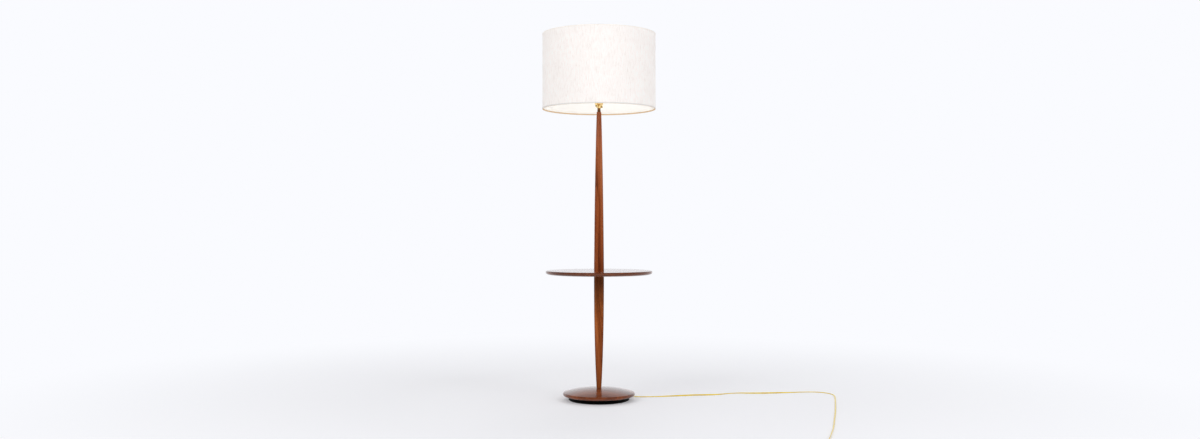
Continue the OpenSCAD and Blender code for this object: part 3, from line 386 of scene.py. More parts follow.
class Nodes:
    """A node tree written as plain sums. A socket takes a value or another node's output."""

    def __init__(self, tree):
        self.tree = tree
        tree.nodes.clear()

    def put(self, socket, value):
        if hasattr(value, "is_output"):
            self.tree.links.new(value, socket)
        elif value is not None:
            socket.default_value = value

    def node(self, kind, *inputs, **props):
        n = self.tree.nodes.new("ShaderNode" + kind)
        for key, value in props.items():
            setattr(n, key, value)
        for socket, value in zip(n.inputs, inputs):
            self.put(socket, value)
        return n

    def first(self, kind, *inputs, **props):
        """The first output of a new node."""
        return self.node(kind, *inputs, **props).outputs[0]

    def named(self, kind, **inputs):
        """A new node whose inputs are set by name."""
        n = self.node(kind)
        for key, value in inputs.items():
            self.put(n.inputs[key], value)
        return n.outputs[0]

    def math(self, op, a, b=None):
        return self.first("Math", a, b, operation=op)

    def add(self, a, b):
        return self.math("ADD", a, b)

    def sub(self, a, b):
        return self.math("SUBTRACT", a, b)

    def mul(self, a, b):
        return self.math("MULTIPLY", a, b)

    def sin(self, a):
        return self.math("SINE", a)

    def hypot(self, a, b):
        return self.math("SQRT", self.add(self.mul(a, a), self.mul(b, b)))

    def total(self, *terms):
        """The sum of (value, weight) terms."""
        parts = [self.mul(value, weight) for value, weight in terms]
        out = parts[0]
        for part in parts[1:]:
            out = self.add(out, part)
        return out

    def span(self, v, a, b, c, d):
        """Maps v from a..b to c..d and clamps it."""
        return self.first("MapRange", v, a, b, c, d)

    def xyz(self, v):
        return tuple(self.node("SeparateXYZ", v).outputs)

    def vec(self, x, y, z):
        return self.first("CombineXYZ", x, y, z)

    def scaled(self, v, s):
        return self.first("VectorMath", v, s, operation="MULTIPLY")

    def noise(self, v, scale, detail, rough, distort=0.0):
        return self.named("TexNoise", Vector=v, Scale=scale, Detail=detail, Roughness=rough,
                          Distortion=distort)

    def cells(self, v, scale):
        n = self.node("TexVoronoi", v)
        n.inputs["Scale"].default_value = scale
        return n.outputs["Distance"]

    def ramp(self, fac, *stops):
        """A colour ramp. A stop is (position, colour) or (position, grey)."""
        n = self.node("ValToRGB", fac)
        elements = n.color_ramp.elements
        while len(elements) < len(stops):
            elements.new(0.5)
        for e, (at, colour) in zip(elements, stops):
            e.position = at
            e.color = colour if hasattr(colour, "__len__") else (colour, colour, colour, 1)
        return n.outputs[0]

    def mix(self, fac, a, b, mode="MIX"):
        n = self.node("Mix", fac, data_type="RGBA", blend_type=mode)
        self.put(n.inputs[6], a)
        self.put(n.inputs[7], b)
        return n.outputs[2]

    def bump(self, height, strength, distance, normal=None):
        return self.named("Bump", Strength=strength, Distance=distance, Height=height,
                          Normal=normal)


class Shader(Nodes):
    """A Principled material. constants are values for its sockets, named with _ for a space."""

    def __init__(self, name, **constants):
        self.mat = bpy.data.materials.new(name)
        self.mat.use_nodes = True
        super().__init__(self.mat.node_tree)
        self.bsdf = self.node("BsdfPrincipled")
        self.end = self.node("OutputMaterial", self.bsdf.outputs[0])
        for key, value in constants.items():
            self.set(key.replace("_", " "), value)
        coords = self.node("TexCoord").outputs
        self.obj, self.uv = coords["Object"], coords["UV"]

    def set(self, name, value):
        self.put(self.bsdf.inputs[name], value)

    def surface(self, colour, rough, normal=None):
        """Sets what every material has, and gives the material."""
        self.set("Base Color", colour)
        self.set("Roughness", rough)
        self.set("Normal", normal)
        return self.mat


# ------------------------------------------------------------------ wood
GROWTH = 0.0034  # metres from one growth layer to the next
WOOD_BUMP = 0.00012


def wood(name, along, pith, tones, ring=GROWTH, gloss=(0.56, 0.42), coat=0.05, coat_rough=0.25,
         seed=0.0, flame=1.0, coat_ior=1.3, shine=0.12, relief=0.35, painted_light_by_height=None):
    """Oiled walnut. along is the grain's axis, x or z, pith the heart's place across it and tones
    run dark to light. The height pairs, (z, share of each colour) from low to high, paint light and
    shade up the piece: the tone is multiplied by them."""
    s = Shader(name, Coat_Weight=coat, Coat_Roughness=coat_rough, Coat_IOR=coat_ior,
               Coat_Tint=(1.0, 0.985, 0.96, 1), IOR=1.5, Specular_IOR_Level=shine)
    x, y, z = s.xyz(s.obj)
    u, a, b = (x, y, z) if along == "x" else (z, x, y)
    u = s.add(u, seed)

    def grain(across, down, detail, rough):
        """Noise drawn out along the grain, by its scale across the grain and down it."""
        return s.noise(s.scaled(s.vec(a, b, u), (across, across, down)), 1.0, detail, rough)

    # growth layers: cones round the heart, bent by slow swells of the stem
    slow = grain(5, 1.1, 2.0, 0.5)
    swell = grain(26, 3.0, 3.0, 0.55)
    dist = s.hypot(s.sub(a, pith[0]), s.sub(b, pith[1]))
    for bent, share in ((slow, 0.05 * flame), (swell, 0.006), (u, 0.006)):
        dist = s.add(dist, s.mul(bent, share))
    phase = s.math("FRACT", s.math("DIVIDE", dist, ring))
    layer = s.ramp(phase, (0.0, 0.55), (0.10, 0.92), (0.55, 0.70), (0.86, 0.18), (0.95, 0.05),
                   (1.0, 0.50))
    # broad dark and light stripes, several layers wide
    stripes = s.noise(s.vec(s.mul(dist, 55), s.mul(u, 1.3), seed), 1.0, 3.0, 0.6)
    bands = s.noise(s.vec(s.mul(dist, 190), s.mul(u, 2.0), seed + 3.1), 1.0, 2.0, 0.5)
    # fibres and figure along the grain
    fibre = grain(900, 14, 3.0, 0.6)
    streak = grain(240, 3.2, 3.0, 0.55)
    tone = s.total((s.span(stripes, 0.32, 0.68, 0, 1), 0.38), (layer, 0.15),
                   (s.span(bands, 0.32, 0.68, 0, 1), 0.20),
                   (s.span(streak, 0.30, 0.70, 0, 1), 0.19), (fibre, 0.10))
    colour = s.ramp(tone, *[(at, lin(*rgb)) for at, rgb in zip((0.16, 0.40, 0.62, 0.86), tones)])
    # open pores: short dark dashes, thickest in the light part of each layer
    pores = grain(2100, 85, 1.0, 0.4)
    pore = s.mul(s.span(pores, 0.62, 0.72, 0, 1), s.span(layer, 0.1, 0.8, 0.35, 1.0))
    colour = s.mix(s.mul(pore, 0.55), colour, lin(*[c * 0.45 for c in tones[0]]))
    # painted light and shade: the colour is multiplied by a ramp up the piece's height
    if painted_light_by_height:
        lo, hi = painted_light_by_height[0][0], painted_light_by_height[-1][0]
        painted_light_shares = [((at - lo) / (hi - lo), (*share, 1)) for at, share in painted_light_by_height]
        colour = s.mix(1.0, colour, s.ramp(s.span(z, lo, hi, 0, 1), *painted_light_shares), "MULTIPLY")
    # handling marks: slight changes of sheen
    marks = grain(30, 18, 4.0, 0.65)
    rough = s.span(s.total((marks, 0.6), (fibre, 0.4)), 0.35, 0.65, *gloss)
    height = s.sub(s.total((fibre, 0.35), (layer, 0.12)), s.mul(pore, 0.8))
    return s.surface(colour, rough, s.bump(height, relief, WOOD_BUMP))


UPPER = ((72, 30, 13), (140, 73, 42), (178, 105, 70), (210, 137, 102))
LOWER = ((65, 23, 6), (132, 65, 27), (175, 96, 46), (211, 129, 73))
TABLE = ((42, 16, 5), (82, 38, 17), (113, 59, 29), (142, 82, 46))
DOME = ((50, 18, 5), (97, 45, 19), (133, 69, 34), (164, 94, 53))
# painted light and shade up the columns: the upper one paler and pinker towards the lit shade and
# darker by the table; the lower one darkest in the table's shadow and darker towards the floor
UPPER_PAINTED_LIGHT = ((0.54, (0.80, 0.62, 0.38)), (0.72, (0.83, 0.66, 0.40)), (0.85, (0.92, 0.83, 0.60)),
                 (0.97, (0.98, 0.97, 0.84)), (1.08, (0.95, 0.94, 0.97)))
LOWER_PAINTED_SHADE = ((0.10, (0.62, 0.58, 0.53)), (0.17, (0.66, 0.62, 0.66)), (0.24, (0.76, 0.73, 0.73)),
                 (0.32, (0.98, 1.0, 1.0)), (0.39, (0.90, 0.97, 0.97)), (0.43, (0.75, 0.82, 0.90)),
                 (0.475, (0.50, 0.53, 0.49)))
wood_upper = wood("walnut_upper", "z", (0.062, 0.050), UPPER, seed=0.3, shine=0.07,
                  painted_light_by_height=UPPER_PAINTED_LIGHT)
wood_lower = wood("walnut_lower", "z", (-0.055, 0.060), LOWER, seed=2.7, shine=0.04,
                  painted_light_by_height=LOWER_PAINTED_SHADE)
wood_table = wood("walnut_table", "x", (-0.09, -0.22), TABLE, ring=0.0042, gloss=(0.46, 0.36),
                  coat=0.95, coat_rough=0.06, coat_ior=1.4, seed=5.1, flame=1.5, relief=0.10)
wood_dome = wood("walnut_dome", "x", (0.05, -0.16), DOME, ring=0.0038, gloss=(0.46, 0.36),
                 coat=1.0, coat_rough=0.09, coat_ior=1.4, seed=7.9, flame=1.3, relief=0.12)

# ------------------------------------------------------------------ metals
BRUSHING = (400, 400, 2600)
FOOT_FADE = 0.0012


def metal(name, bright, dull, rough, scale, tarnish=0.35, coat=0.0, brush=0.25, pits=0.0,
          foot=None):
    """Metal with patches of tarnish, rub marks and a little unevenness.
    The last argument, a (z, colour) pair, paints the metal darker below that height: painted shade."""
    s = Shader(name, Metallic=1.0, Coat_Weight=coat, Coat_Roughness=0.08)
    cloud = s.noise(s.obj, scale, 5.0, 0.62)
    small = s.noise(s.obj, scale * 9, 3.0, 0.5)
    brushed = s.noise(s.scaled(s.obj, BRUSHING), 1.0, 3.0, 0.6)
    patch = s.span(s.total((cloud, 0.7), (small, 0.3)), 0.42, 0.66, 0, 1)
    colour = s.mix(s.mul(patch, tarnish), lin(*bright), lin(*dull))
    colour = s.mix(s.mul(brushed, 0.12), colour, lin(*[min(255, c * 1.12) for c in bright]))
    # painted shade: the metal is darkened below the given height
    if foot:
        at = s.add(s.xyz(s.obj)[2], s.mul(s.sub(cloud, 0.5), 0.004))
        colour = s.mix(s.span(at, foot[0] - FOOT_FADE, foot[0] + FOOT_FADE, 0.92, 0.0), colour,
                       lin(*foot[1]))
    rubbed = s.total((patch, 0.6), (brushed, brush))
    height = s.total((brushed, 0.5), (small, 0.5))
    if pits:
        height = s.sub(height, s.mul(s.span(s.cells(s.obj, 700), 0.0, 0.22, 1, 0), pits))
    return s.surface(colour, s.span(rubbed, 0.0, 0.9, *rough), s.bump(height, 0.04, 0.0002))


brass = metal("brass_polished", (250, 216, 144), (196, 150, 78), (0.10, 0.30), 90, coat=0.25)
# the ferrules' lower ends are darkened with painted shade
brass_painted_shade = metal("brass_ferrule_painted_shade", (252, 224, 154), (206, 162, 90), (0.10, 0.30), 90, coat=0.25,
                   foot=(1.1906, (104, 84, 40)))
brass_thread = metal("brass_drawn", (214, 170, 92), (150, 108, 52), (0.20, 0.42), 140, brush=0.4)
bronze = metal("neck_bronze", (112, 74, 44), (52, 30, 20), (0.18, 0.40), 150, tarnish=0.8, coat=0.2)
steel = metal("zinc_steel", (176, 178, 180), (112, 112, 112), (0.26, 0.5), 120, tarnish=0.5,
              pits=0.4)
nickel = metal("nickel_plate", (206, 202, 194), (150, 146, 138), (0.14, 0.34), 200, tarnish=0.4)


# ------------------------------------------------------------------ the other hard materials
def black_iron_and_shade():
    """Black stove paint over rough casting: orange peel, a few rubbed spots on high places. Its
    black is deeper than paint: painted shade under the dome's rim.
    """
    s = Shader("cast_iron_paint_and_shade", IOR=1.5, Specular_IOR_Level=0.03)
    peel = s.noise(s.obj, 520, 3.0, 0.55)
    cast = s.noise(s.obj, 95, 4.0, 0.6)
    rub = s.span(s.noise(s.obj, 60, 5.0, 0.7), 0.60, 0.72, 0, 1)
    rough = s.span(s.total((peel, 0.5), (cast, 0.5)), 0.3, 0.7, 0.34, 0.62)
    # painted shade: the base black is deeper than the paint's own, for the shade under the dome
    return s.surface(s.mix(rub, lin(5, 5, 5), lin(20, 18, 17)), rough,
                     s.bump(peel, 0.30, 0.0003, s.bump(cast, 0.35, 0.0009)))


def phenolic():
    """Brown moulded resin with swirls of filler and pale flecks."""
    s = Shader("phenolic_brown", IOR=1.55, Coat_Weight=0.3, Coat_Roughness=0.12)
    swirl = s.noise(s.scaled(s.obj, (1, 1, 2.2)), 130, 5.0, 0.6, 1.4)
    colour = s.mix(s.span(swirl, 0.35, 0.65, 0, 1), lin(46, 28, 19), lin(24, 14, 10))
    flecks = s.span(s.cells(s.obj, 900), 0.0, 0.25, 0.25, 0)
    colour = s.mix(flecks, colour, lin(78.2, 44.8, 28.5))
    return s.surface(colour, s.span(swirl, 0.3, 0.7, 0.22, 0.38),
                     s.bump(s.noise(s.obj, 1500, 2.0, 0.5), 0.06, 0.0002))


def fibre_card():
    """Pressed brown card, felted across its thickness."""
    s = Shader("fibre_card")
    felted = s.noise(s.scaled(s.obj, (500, 500, 160)), 1.0, 4.0, 0.65)
    spots = s.noise(s.obj, 220, 4.0, 0.6)
    colour = s.mix(s.span(felted, 0.35, 0.65, 0, 1), lin(158, 132, 96), lin(124, 98, 66))
    return s.surface(colour, s.span(spots, 0.3, 0.7, 0.72, 0.9), s.bump(felted, 0.4, 0.0003))


def enamel():
    """White baked enamel on wire: faint drips, yellowed by the bulb's heat here and there."""
    s = Shader("white_enamel", IOR=1.5, Coat_Weight=0.2, Coat_Roughness=0.15)
    cloud = s.noise(s.obj, 38, 4.0, 0.6)
    peel = s.noise(s.obj, 900, 2.0, 0.5)
    colour = s.mix(s.span(cloud, 0.4, 0.7, 0, 1), lin(238, 234, 224), lin(222, 211, 190))
    return s.surface(colour, s.span(peel, 0.3, 0.7, 0.28, 0.42), s.bump(peel, 0.12, 0.0002))


def moulded(name, a, b, rough=(0.36, 0.52)):
    """Moulded plastic with a spark-eroded surface and slight flow marks."""
    s = Shader(name, IOR=1.5)
    grit = s.noise(s.obj, 1900, 2.0, 0.5)
    flow = s.noise(s.scaled(s.obj, (60, 110, 60)), 1.0, 4.0, 0.6, 0.8)
    colour = s.mix(s.span(flow, 0.35, 0.65, 0, 1), lin(*a), lin(*b))
    return s.surface(colour, s.span(s.total((grit, 0.5), (flow, 0.5)), 0.3, 0.7, *rough),
                     s.bump(grit, 0.22, 0.00018))


def black_glass():
    """The bulb's dark insulator, cast with slight swirls."""
    s = Shader("vitrite", IOR=1.55, Coat_Weight=0.6, Coat_Roughness=0.05)
    flow = s.noise(s.obj, 260, 4.0, 0.6, 1.0)
    return s.surface(s.mix(flow, lin(12, 12, 16), lin(34, 30, 40)),
                     s.span(flow, 0.3, 0.7, 0.08, 0.22), s.bump(flow, 0.1, 0.0003))


def lit_glass():
    """A frosted bulb that is lit: brightest round its middle, deeper in tone at its neck."""
    s = Shader("bulb_frosted", IOR=1.5, Coat_Weight=0.3, Coat_Roughness=0.2, Emission_Strength=1.0)
    frost = s.noise(s.obj, 1300, 2.0, 0.6)
    up = s.span(s.xyz(s.obj)[2], 1.250, 1.300, 0.0, 1.0)
    s.set("Emission Color", s.mix(up, lin(206, 158, 104), lin(246, 232, 206)))
    return s.surface(s.mix(up, lin(150, 140, 124), lin(176, 170, 158)),
                     s.span(frost, 0.3, 0.7, 0.30, 0.5), s.bump(frost, 0.15, 0.0001))


def cord_jacket():
    """Gold see-through jacket over twisted copper: strands show faintly along the cord."""
    strand_pitch = 0.0042
    s = Shader("cord_gold", IOR=1.5, Coat_Weight=0.35, Coat_Roughness=0.12, Specular_IOR_Level=0.3)
    u, v, _ = s.xyz(s.uv)
    lay = s.sin(s.add(s.mul(u, math.tau / strand_pitch), s.mul(v, 8 * math.pi)))
    patch = s.noise(s.vec(s.mul(u, 34), s.mul(v, 1.0), 0.0), 1.0, 3.0, 0.6)
    fine = s.noise(s.vec(s.mul(u, 900), s.mul(v, 9.0), 0.0), 1.0, 2.0, 0.5)
    colour = s.ramp(s.total((patch, 0.75), (s.span(lay, -1, 1, 0, 1), 0.25)),
                    (0.25, lin(210, 170, 18)), (0.5, lin(234, 202, 42)), (0.75, lin(250, 232, 98)))
    return s.surface(colour, s.span(fine, 0.3, 0.7, 0.24, 0.40),
                     s.bump(s.total((lay, 0.25), (fine, 0.5)), 0.10, 0.0002))


def felt():
    """Dark wool felt: fuzz over small tufts."""
    s = Shader("felt_dark", Sheen_Weight=0.5, Sheen_Roughness=0.5)
    fuzz = s.noise(s.obj, 1500, 4.0, 0.7)
    tufts = s.cells(s.obj, 420)
    return s.surface(s.mix(s.span(fuzz, 0.3, 0.7, 0, 1), lin(34, 36, 33), lin(74, 76, 70)),
                     s.span(tufts, 0.0, 0.6, 0.86, 0.98),
                     s.bump(s.add(fuzz, s.mul(tufts, 0.5)), 0.6, 0.0006))


# ------------------------------------------------------------------ cloth
R_OUT, R_IN = 0.2290, 0.2280
SEAM_X = -0.0113
WARP, WEFT = 0.00150, 0.00165


def cloth(name, base, deep, fleck, glow=None, weave=0.9, slub=1.0, radius=R_OUT, seam=None):
    """Slubbed linen round a drum: thick and thin threads upright, finer ones across, and dark
    flecks. glow is the colour and strength of the lamp's light that comes through."""
    s = Shader(name, Sheen_Weight=0.12, Sheen_Roughness=0.5, IOR=1.45)
    x, y, z = s.xyz(s.obj)
    arc = s.mul(s.math("ARCTAN2", x, s.mul(y, -1.0)), radius)

    def yarn(at, across, up, seed, detail, rough):
        """Noise by its scale round the drum and up it."""
        return s.noise(s.vec(s.mul(at, across), s.mul(z, up), seed), 1.0, detail, rough)

    warp = s.add(arc, s.mul(s.sub(yarn(arc, 9, 7, 0.0, 2.0, 0.5), 0.5), 0.004))
    thick = yarn(warp, 430, 46, 1.3, 3.0, 0.6)
    broad = yarn(warp, 190, 34, 4.2, 2.0, 0.55)
    weft = yarn(arc, 26, 520, 7.7, 3.0, 0.6)
    cloud = yarn(arc, 14, 12, 2.9, 3.0, 0.55)
    warp_wave = s.sin(s.mul(warp, math.pi / WARP))
    weft_wave = s.sin(s.mul(z, math.pi / WEFT))
    knit = s.total((s.math("ABSOLUTE", warp_wave), 0.5), (s.math("ABSOLUTE", weft_wave), 0.5))
    dark = s.total((s.span(thick, 0.46, 0.74, 0, 1), 0.48 * slub),
                   (s.span(broad, 0.50, 0.74, 0, 1), 0.30 * slub),
                   (s.span(weft, 0.56, 0.76, 0, 1), 0.20 * slub),
                   (s.span(cloud, 0.35, 0.75, 0, 1), 0.18),
                   (s.sub(1.0, knit), 0.14 * weave))
    dark = s.math("MINIMUM", dark, 1.0)
    colour = s.mix(dark, lin(*base), lin(*deep))
    bits = yarn(warp, 700, 150, 9.4, 1.0, 0.5)
    colour = s.mix(s.span(bits, 0.70, 0.78, 0, 0.45 * slub), colour, lin(*fleck))
    if seam is not None:
        # the glued lap's free edge, a thin line of shade at the back
        edge = s.span(s.math("ABSOLUTE", s.sub(x, seam)), 0.0002, 0.0010, 0.55, 0.0)
        colour = s.mix(s.mul(edge, s.math("GREATER_THAN", y, 0.0)), colour, lin(150, 138, 124))
    if glow:
        s.set("Emission Strength", glow[3])
        s.set("Emission Color", s.mix(dark, lin(*glow[:3]), lin(*[c * 0.86 for c in glow[:3]])))
    rough = s.span(s.total((thick, 0.5), (weft, 0.5)), 0.3, 0.7, 0.78, 0.94)
    height = s.add(s.total((knit, 0.45), (s.mul(warp_wave, weft_wave), 0.25)),
                   s.total((thick, 0.9 * slub), (weft, 0.45 * slub)))
    return s.surface(colour, rough, s.bump(height, 0.35 * weave, 0.0005))


linen = cloth("linen_oatmeal", (250, 246, 243), (226, 218, 212), (200, 183, 166),
              glow=(255, 247, 240, 0.10), seam=SEAM_X)
lining = cloth("shade_lining", (244, 243, 240), (236, 233, 226), (232, 222, 206), slub=0.35,
               weave=0.25, glow=(255, 254, 252, 0.27), radius=R_IN)
trim_outer = cloth("trim_linen", (247, 243, 238), (224, 215, 206), (190, 172, 152), slub=0.8,
                   glow=(255, 246, 236, 0.10))
# painted shade: a greyer copy of the trim linen, with no glow, for the outside of the lower roll
trim_painted_shade = cloth("trim_lower_painted_shade", (237, 234, 229), (216, 212, 206), (180, 170, 156), slub=0.7)
trim_inner = cloth("trim_tan", (234, 205, 168), (208, 170, 126), (158, 120, 82), slub=0.7,
                   glow=(255, 218, 168, 0.06))

MATS = {
    "felt": felt(), "cast_iron": black_iron_and_shade(), "steel": steel, "base_wood": wood_dome,
    "table_wood": wood_table, "lower": wood_lower, "upper": wood_upper, "bronze": bronze,
    "brass": brass, "brass_thread": brass_thread, "brass_painted_shade": brass_painted_shade, "phenolic": phenolic(),
    "fibre": fibre_card(), "black_glass": black_glass(), "nickel": nickel,
    "bulb_glass": lit_glass(), "white_enamel": enamel(), "cord_jacket": cord_jacket(),
    "dark_plastic": moulded("plastic_brown", (64, 44, 32), (44, 30, 23)),
    "black_plastic": moulded("plastic_black", (26, 26, 27), (16, 16, 17), (0.3, 0.46)),
    "linen": linen, "lining": lining, "trim_tape": trim_outer, "trim_tan": trim_inner,
    "trim_painted_shade": trim_painted_shade,
}
NODE_MATS = {
    "felt_pad": "felt", "base_weight": "cast_iron", "base_screws": "steel",
    "base_dome": "base_wood", "pipe_washer": "steel", "pipe_nut": "brass",
    "threaded_pipe": "steel", "inner_lead": "cord_jacket", "lower_column": "lower",
    "table_top": "table_wood", "upper_column": "upper", "brass_neck": "bronze",
    "harp_saddle": "brass", "socket_cap": "brass", "cap_lock_screw": "brass",
    "socket_core": "phenolic", "contact_shell": "brass_thread", "insulating_sleeve": "fibre",
    "socket_shell": "brass", "switch_stem": "steel", "switch_knob": "phenolic",
    "bulb_contact": "black_glass", "bulb_cap": "nickel", "bulb_glass": "bulb_glass",
    "harp_wire": "brass", "harp_stud": "brass", "ferrule_left": "brass_painted_shade",
    "ferrule_right": "brass_painted_shade", "shade_spider": "white_enamel",
    "shade_bottom_ring": "white_enamel", "shade_drum": "linen", "shade_top_trim": "trim_tape",
    "shade_bottom_trim": "trim_tape", "finial_washer": "brass", "finial": "brass",
    "cord_relief": "dark_plastic", "cord": "cord_jacket", "cord_coil": "cord_jacket",
    "cord_tie": "black_plastic", "plug_body": "dark_plastic", "plug_blades": "brass_thread",
}
for ob in list(SCENE.objects):
    if ob.type == "MESH" and "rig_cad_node" in ob:
        mat = MATS[NODE_MATS[ob["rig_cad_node"]]]
        if not ob.material_slots:
            ob.data.materials.append(mat)
        for ms in ob.material_slots:
            ms.material = mat


def wear(ob, *mats):
    """Gives the piece its materials, in the order of its faces' slots."""
    for m in mats:
        ob.data.materials.append(MATS[m])


def dress(ob, body, mats, replaces):
    """Gives the piece its looks, the body that it rides on and the CAD nodes that it replaces."""
    wear(ob, *mats)
    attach(ob, body)
    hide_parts(*replaces)


wear(cord, "cord_jacket")
for ob in (relief, plug):
    wear(ob, "dark_plastic")
for ob in (tie, tie_head, tie_tail):
    wear(ob, "black_plastic")

# ------------------------------------------------------------------ the shade's wall
Z0, Z1 = 1.17665, 1.48035
LAP, LAP_FADE = 0.011, 0.004
LAP_STEP_OUT, LAP_STEP_IN = 0.00045, 0.00105
EDGE_BAND, PUCKER = 0.02, 0.00012
N_COL, N_ROW = 260, 26
BACK_ANGLE = math.pi / 2
turn = math.tau + LAP / R_OUT
levels = [Z0 + (Z1 - Z0) * j / N_ROW for j in range(N_ROW + 1)]
wall_rings = []
for i in range(N_COL + 1):
    a = BACK_ANGLE + turn * i / N_COL
    # where the cloth laps over its own start it stands a little further out
    lap = smooth01(((a - BACK_ANGLE - math.tau) * R_OUT + LAP_FADE) / LAP_FADE)
    ring = []
    for z in levels:
        edge = min(1.0, min(z - Z0, Z1 - z) / EDGE_BAND)
        r = R_OUT - PUCKER + lap * LAP_STEP_OUT + edge * PUCKER * wobble(7 * a, 40 * z)
        ring.append(polar(r, a, z))
    ring += [polar(R_IN + lap * LAP_STEP_IN, a, z) for z in reversed(levels)]
    wall_rings.append(ring)
wall = skin("shade_wall", wall_rings, sharp=50,
            mat_of=lambda i, k: 1 if N_ROW < k < 2 * N_ROW + 1 else 0)
dress(wall, "shade", ("linen", "lining"), ("shade_drum",))

# ------------------------------------------------------------------ the trims
# linen tape folded over the wall's edges and rolled round the lower ring
RO, RI, TAPE_T = 0.22965, 0.2246, 0.0006
OUTER_ROLL, INNER_ROLL, TOP_ROLL = 0.0018, 0.0013, 0.0012
ROLL_Z, HOLLOW_Z, TOP_Z = 1.1778, 1.1779, 1.4798
TRIM_STEPS = 220


def arc_points(cx, cz, r, a0, a1, n):
    """Points of an arc from a0 to a1 degrees."""
    angles = [math.radians(a0 + (a1 - a0) * i / n) for i in range(n + 1)]
    return [(cx + r * math.cos(a), cz + r * math.sin(a)) for a in angles]


def tape_shift(i, r, z, a):
    """The tape is laid by hand: its free edges wander and it puckers very slightly."""
    return 0.00006 * wobble(31 * a + i, 9 * a)


face = [(RO - TAPE_T, 1.1810), (RO - 0.0003, 1.18125), (RO - 0.00004, 1.1808), (RO, 1.1796),
        (RO, 1.1781)]
low = (
    face
    + arc_points(RO - OUTER_ROLL, ROLL_Z, OUTER_ROLL, 0, -90, 7)
    + arc_points(RI + OUTER_ROLL, ROLL_Z, OUTER_ROLL, -90, -180, 7)
    + [(RI, 1.1790), (RI + 0.00004, 1.1806), (RI + 0.0003, 1.1810), (RI + TAPE_T, 1.1807),
       (RI + TAPE_T, 1.1785)]
    + arc_points(RI + TAPE_T + INNER_ROLL, HOLLOW_Z, INNER_ROLL, 180, 270, 6)
    + arc_points(RO - TAPE_T - INNER_ROLL, HOLLOW_Z, INNER_ROLL, 270, 360, 6)
)
# the pale side, greyer linen that paints shade, goes on for five steps round the roll, and the tan
# begins there
n_pale = len(face) + 5
lower_trim = turned("shade_lower_trim", low, TRIM_STEPS, tape_shift, sharp=45,
                    mat_of=lambda i, k: 0 if k < n_pale or k >= len(low) - 1 else 1)
dress(lower_trim, "shade", ("trim_painted_shade", "trim_tan"), ("shade_bottom_trim",))
top = (
    [(RO - TAPE_T, 1.4761), (RO - 0.0003, 1.4759), (RO - 0.00003, 1.4763), (RO, 1.4775),
     (RO, 1.4796)]
    + arc_points(RO - TOP_ROLL, TOP_Z, TOP_ROLL, 0, 90, 6)
    + [(0.2281, 1.4810), (0.22735, 1.4810), (0.22660, 1.4808), (0.22662, 1.48045),
       (0.2274, 1.48042), (0.2283, 1.48042), (RO - TAPE_T, 1.48038)]
)
upper_trim = turned("shade_upper_trim", top[::-1], TRIM_STEPS, tape_shift, sharp=45)
dress(upper_trim, "shade", ("trim_tape",), ("shade_top_trim",))

# ------------------------------------------------------------------ felt under the base
FELT_T, FELT_STEPS, FELT_WANDER, CUT_EDGE_R = 0.00195, 160, 0.00018, 0.11
felt_outline = [(0.02, FELT_T), (0.060, FELT_T), (0.100, FELT_T), (0.1155, FELT_T),
                (0.1180, 0.0018), (0.1188, 0.0012), (0.1188, 0.0006), (0.1181, 0.0001),
                (0.1155, 0.0), (0.100, 0.0), (0.060, 0.0), (0.02, 0.0)]
m = len(felt_outline)
verts, faces = [], []
for j in range(FELT_STEPS):
    a = math.tau * j / FELT_STEPS
    for i, (r, z) in enumerate(felt_outline):
        wander = FELT_WANDER * wobble(23 * a, 61 * a + i) if r > CUT_EDGE_R else 0
        verts.append(polar(r + wander, a, z))
top_hub, bottom_hub = len(verts), len(verts) + 1
verts += [(0, 0, FELT_T), (0, 0, 0.0)]
for j in range(FELT_STEPS):
    a, b = j * m, (j + 1) % FELT_STEPS * m
    faces += [(a + k, a + k + 1, b + k + 1, b + k) for k in range(m - 1)]
    faces += [(a, b, top_hub), (b + m - 1, a + m - 1, bottom_hub)]
felt_disc = mesh_object("felt_disc", verts, faces, sharp=60)
dress(felt_disc, "stand", ("felt",), ("felt_pad",))

# ------------------------------------------------------------------ harp wire
# millimetres; one half runs up from its foot: straight, bent out by SPREAD degrees, a long bend
# back to upright, and a round corner
FOOT_R, LEG_B, SIDE_R, CORNER = 22.0, 30.0, 57.0, 50.0
Z_SEAT, Z_LEG, Z_TOP = 1186.0, 1216.0, 1438.0
SPREAD = 40
SIDE_B = (SIDE_R - FOOT_R) / (1 - math.cos(math.radians(SPREAD))) - LEG_B
Z_SIDE = Z_LEG + (LEG_B + SIDE_B) * math.sin(math.radians(SPREAD))
LEG_STEPS, SIDE_STEPS, CORNER_STEPS, WIRE_STEPS = 12, 24, 27, 20
WIRE_R, FOOT_WIRE_R = 1.6, 1.25
PRESS_Z, PRESS_REACH, PRESS_FADE = 1430, 12.5, 6.0
PRESS_THIN, PRESS_WIDE, PRESS_SQUARE = 0.3, 2.9, 0.45
HARP_ANGLE = math.radians(60)
half = [(FOOT_R, z, 90) for z in (Z_SEAT, Z_SEAT + 0.8, 1200, Z_LEG - 2)]
for i in range(LEG_STEPS + 1):
    a = 180 - SPREAD * i / LEG_STEPS
    ra = math.radians(a)
    half.append((FOOT_R + LEG_B * (1 + math.cos(ra)), Z_LEG + LEG_B * math.sin(ra), a - 90))
for i in range(1, SIDE_STEPS + 1):
    a = SPREAD * (i / SIDE_STEPS - 1)
    ra = math.radians(a)
    half.append((SIDE_R - SIDE_B * (1 - math.cos(ra)), Z_SIDE + SIDE_B * math.sin(ra), a + 90))
for i in range(CORNER_STEPS + 1):
    a = 90 * i / CORNER_STEPS
    ra = math.radians(a)
    half.append((SIDE_R - CORNER * (1 - math.cos(ra)), Z_TOP - CORNER * (1 - math.sin(ra)), a + 90))
hx = Vector((math.cos(HARP_ANGLE), math.sin(HARP_ANGLE), 0))
hy = Vector((-math.sin(HARP_ANGLE), math.cos(HARP_ANGLE), 0))
harp_rings = []
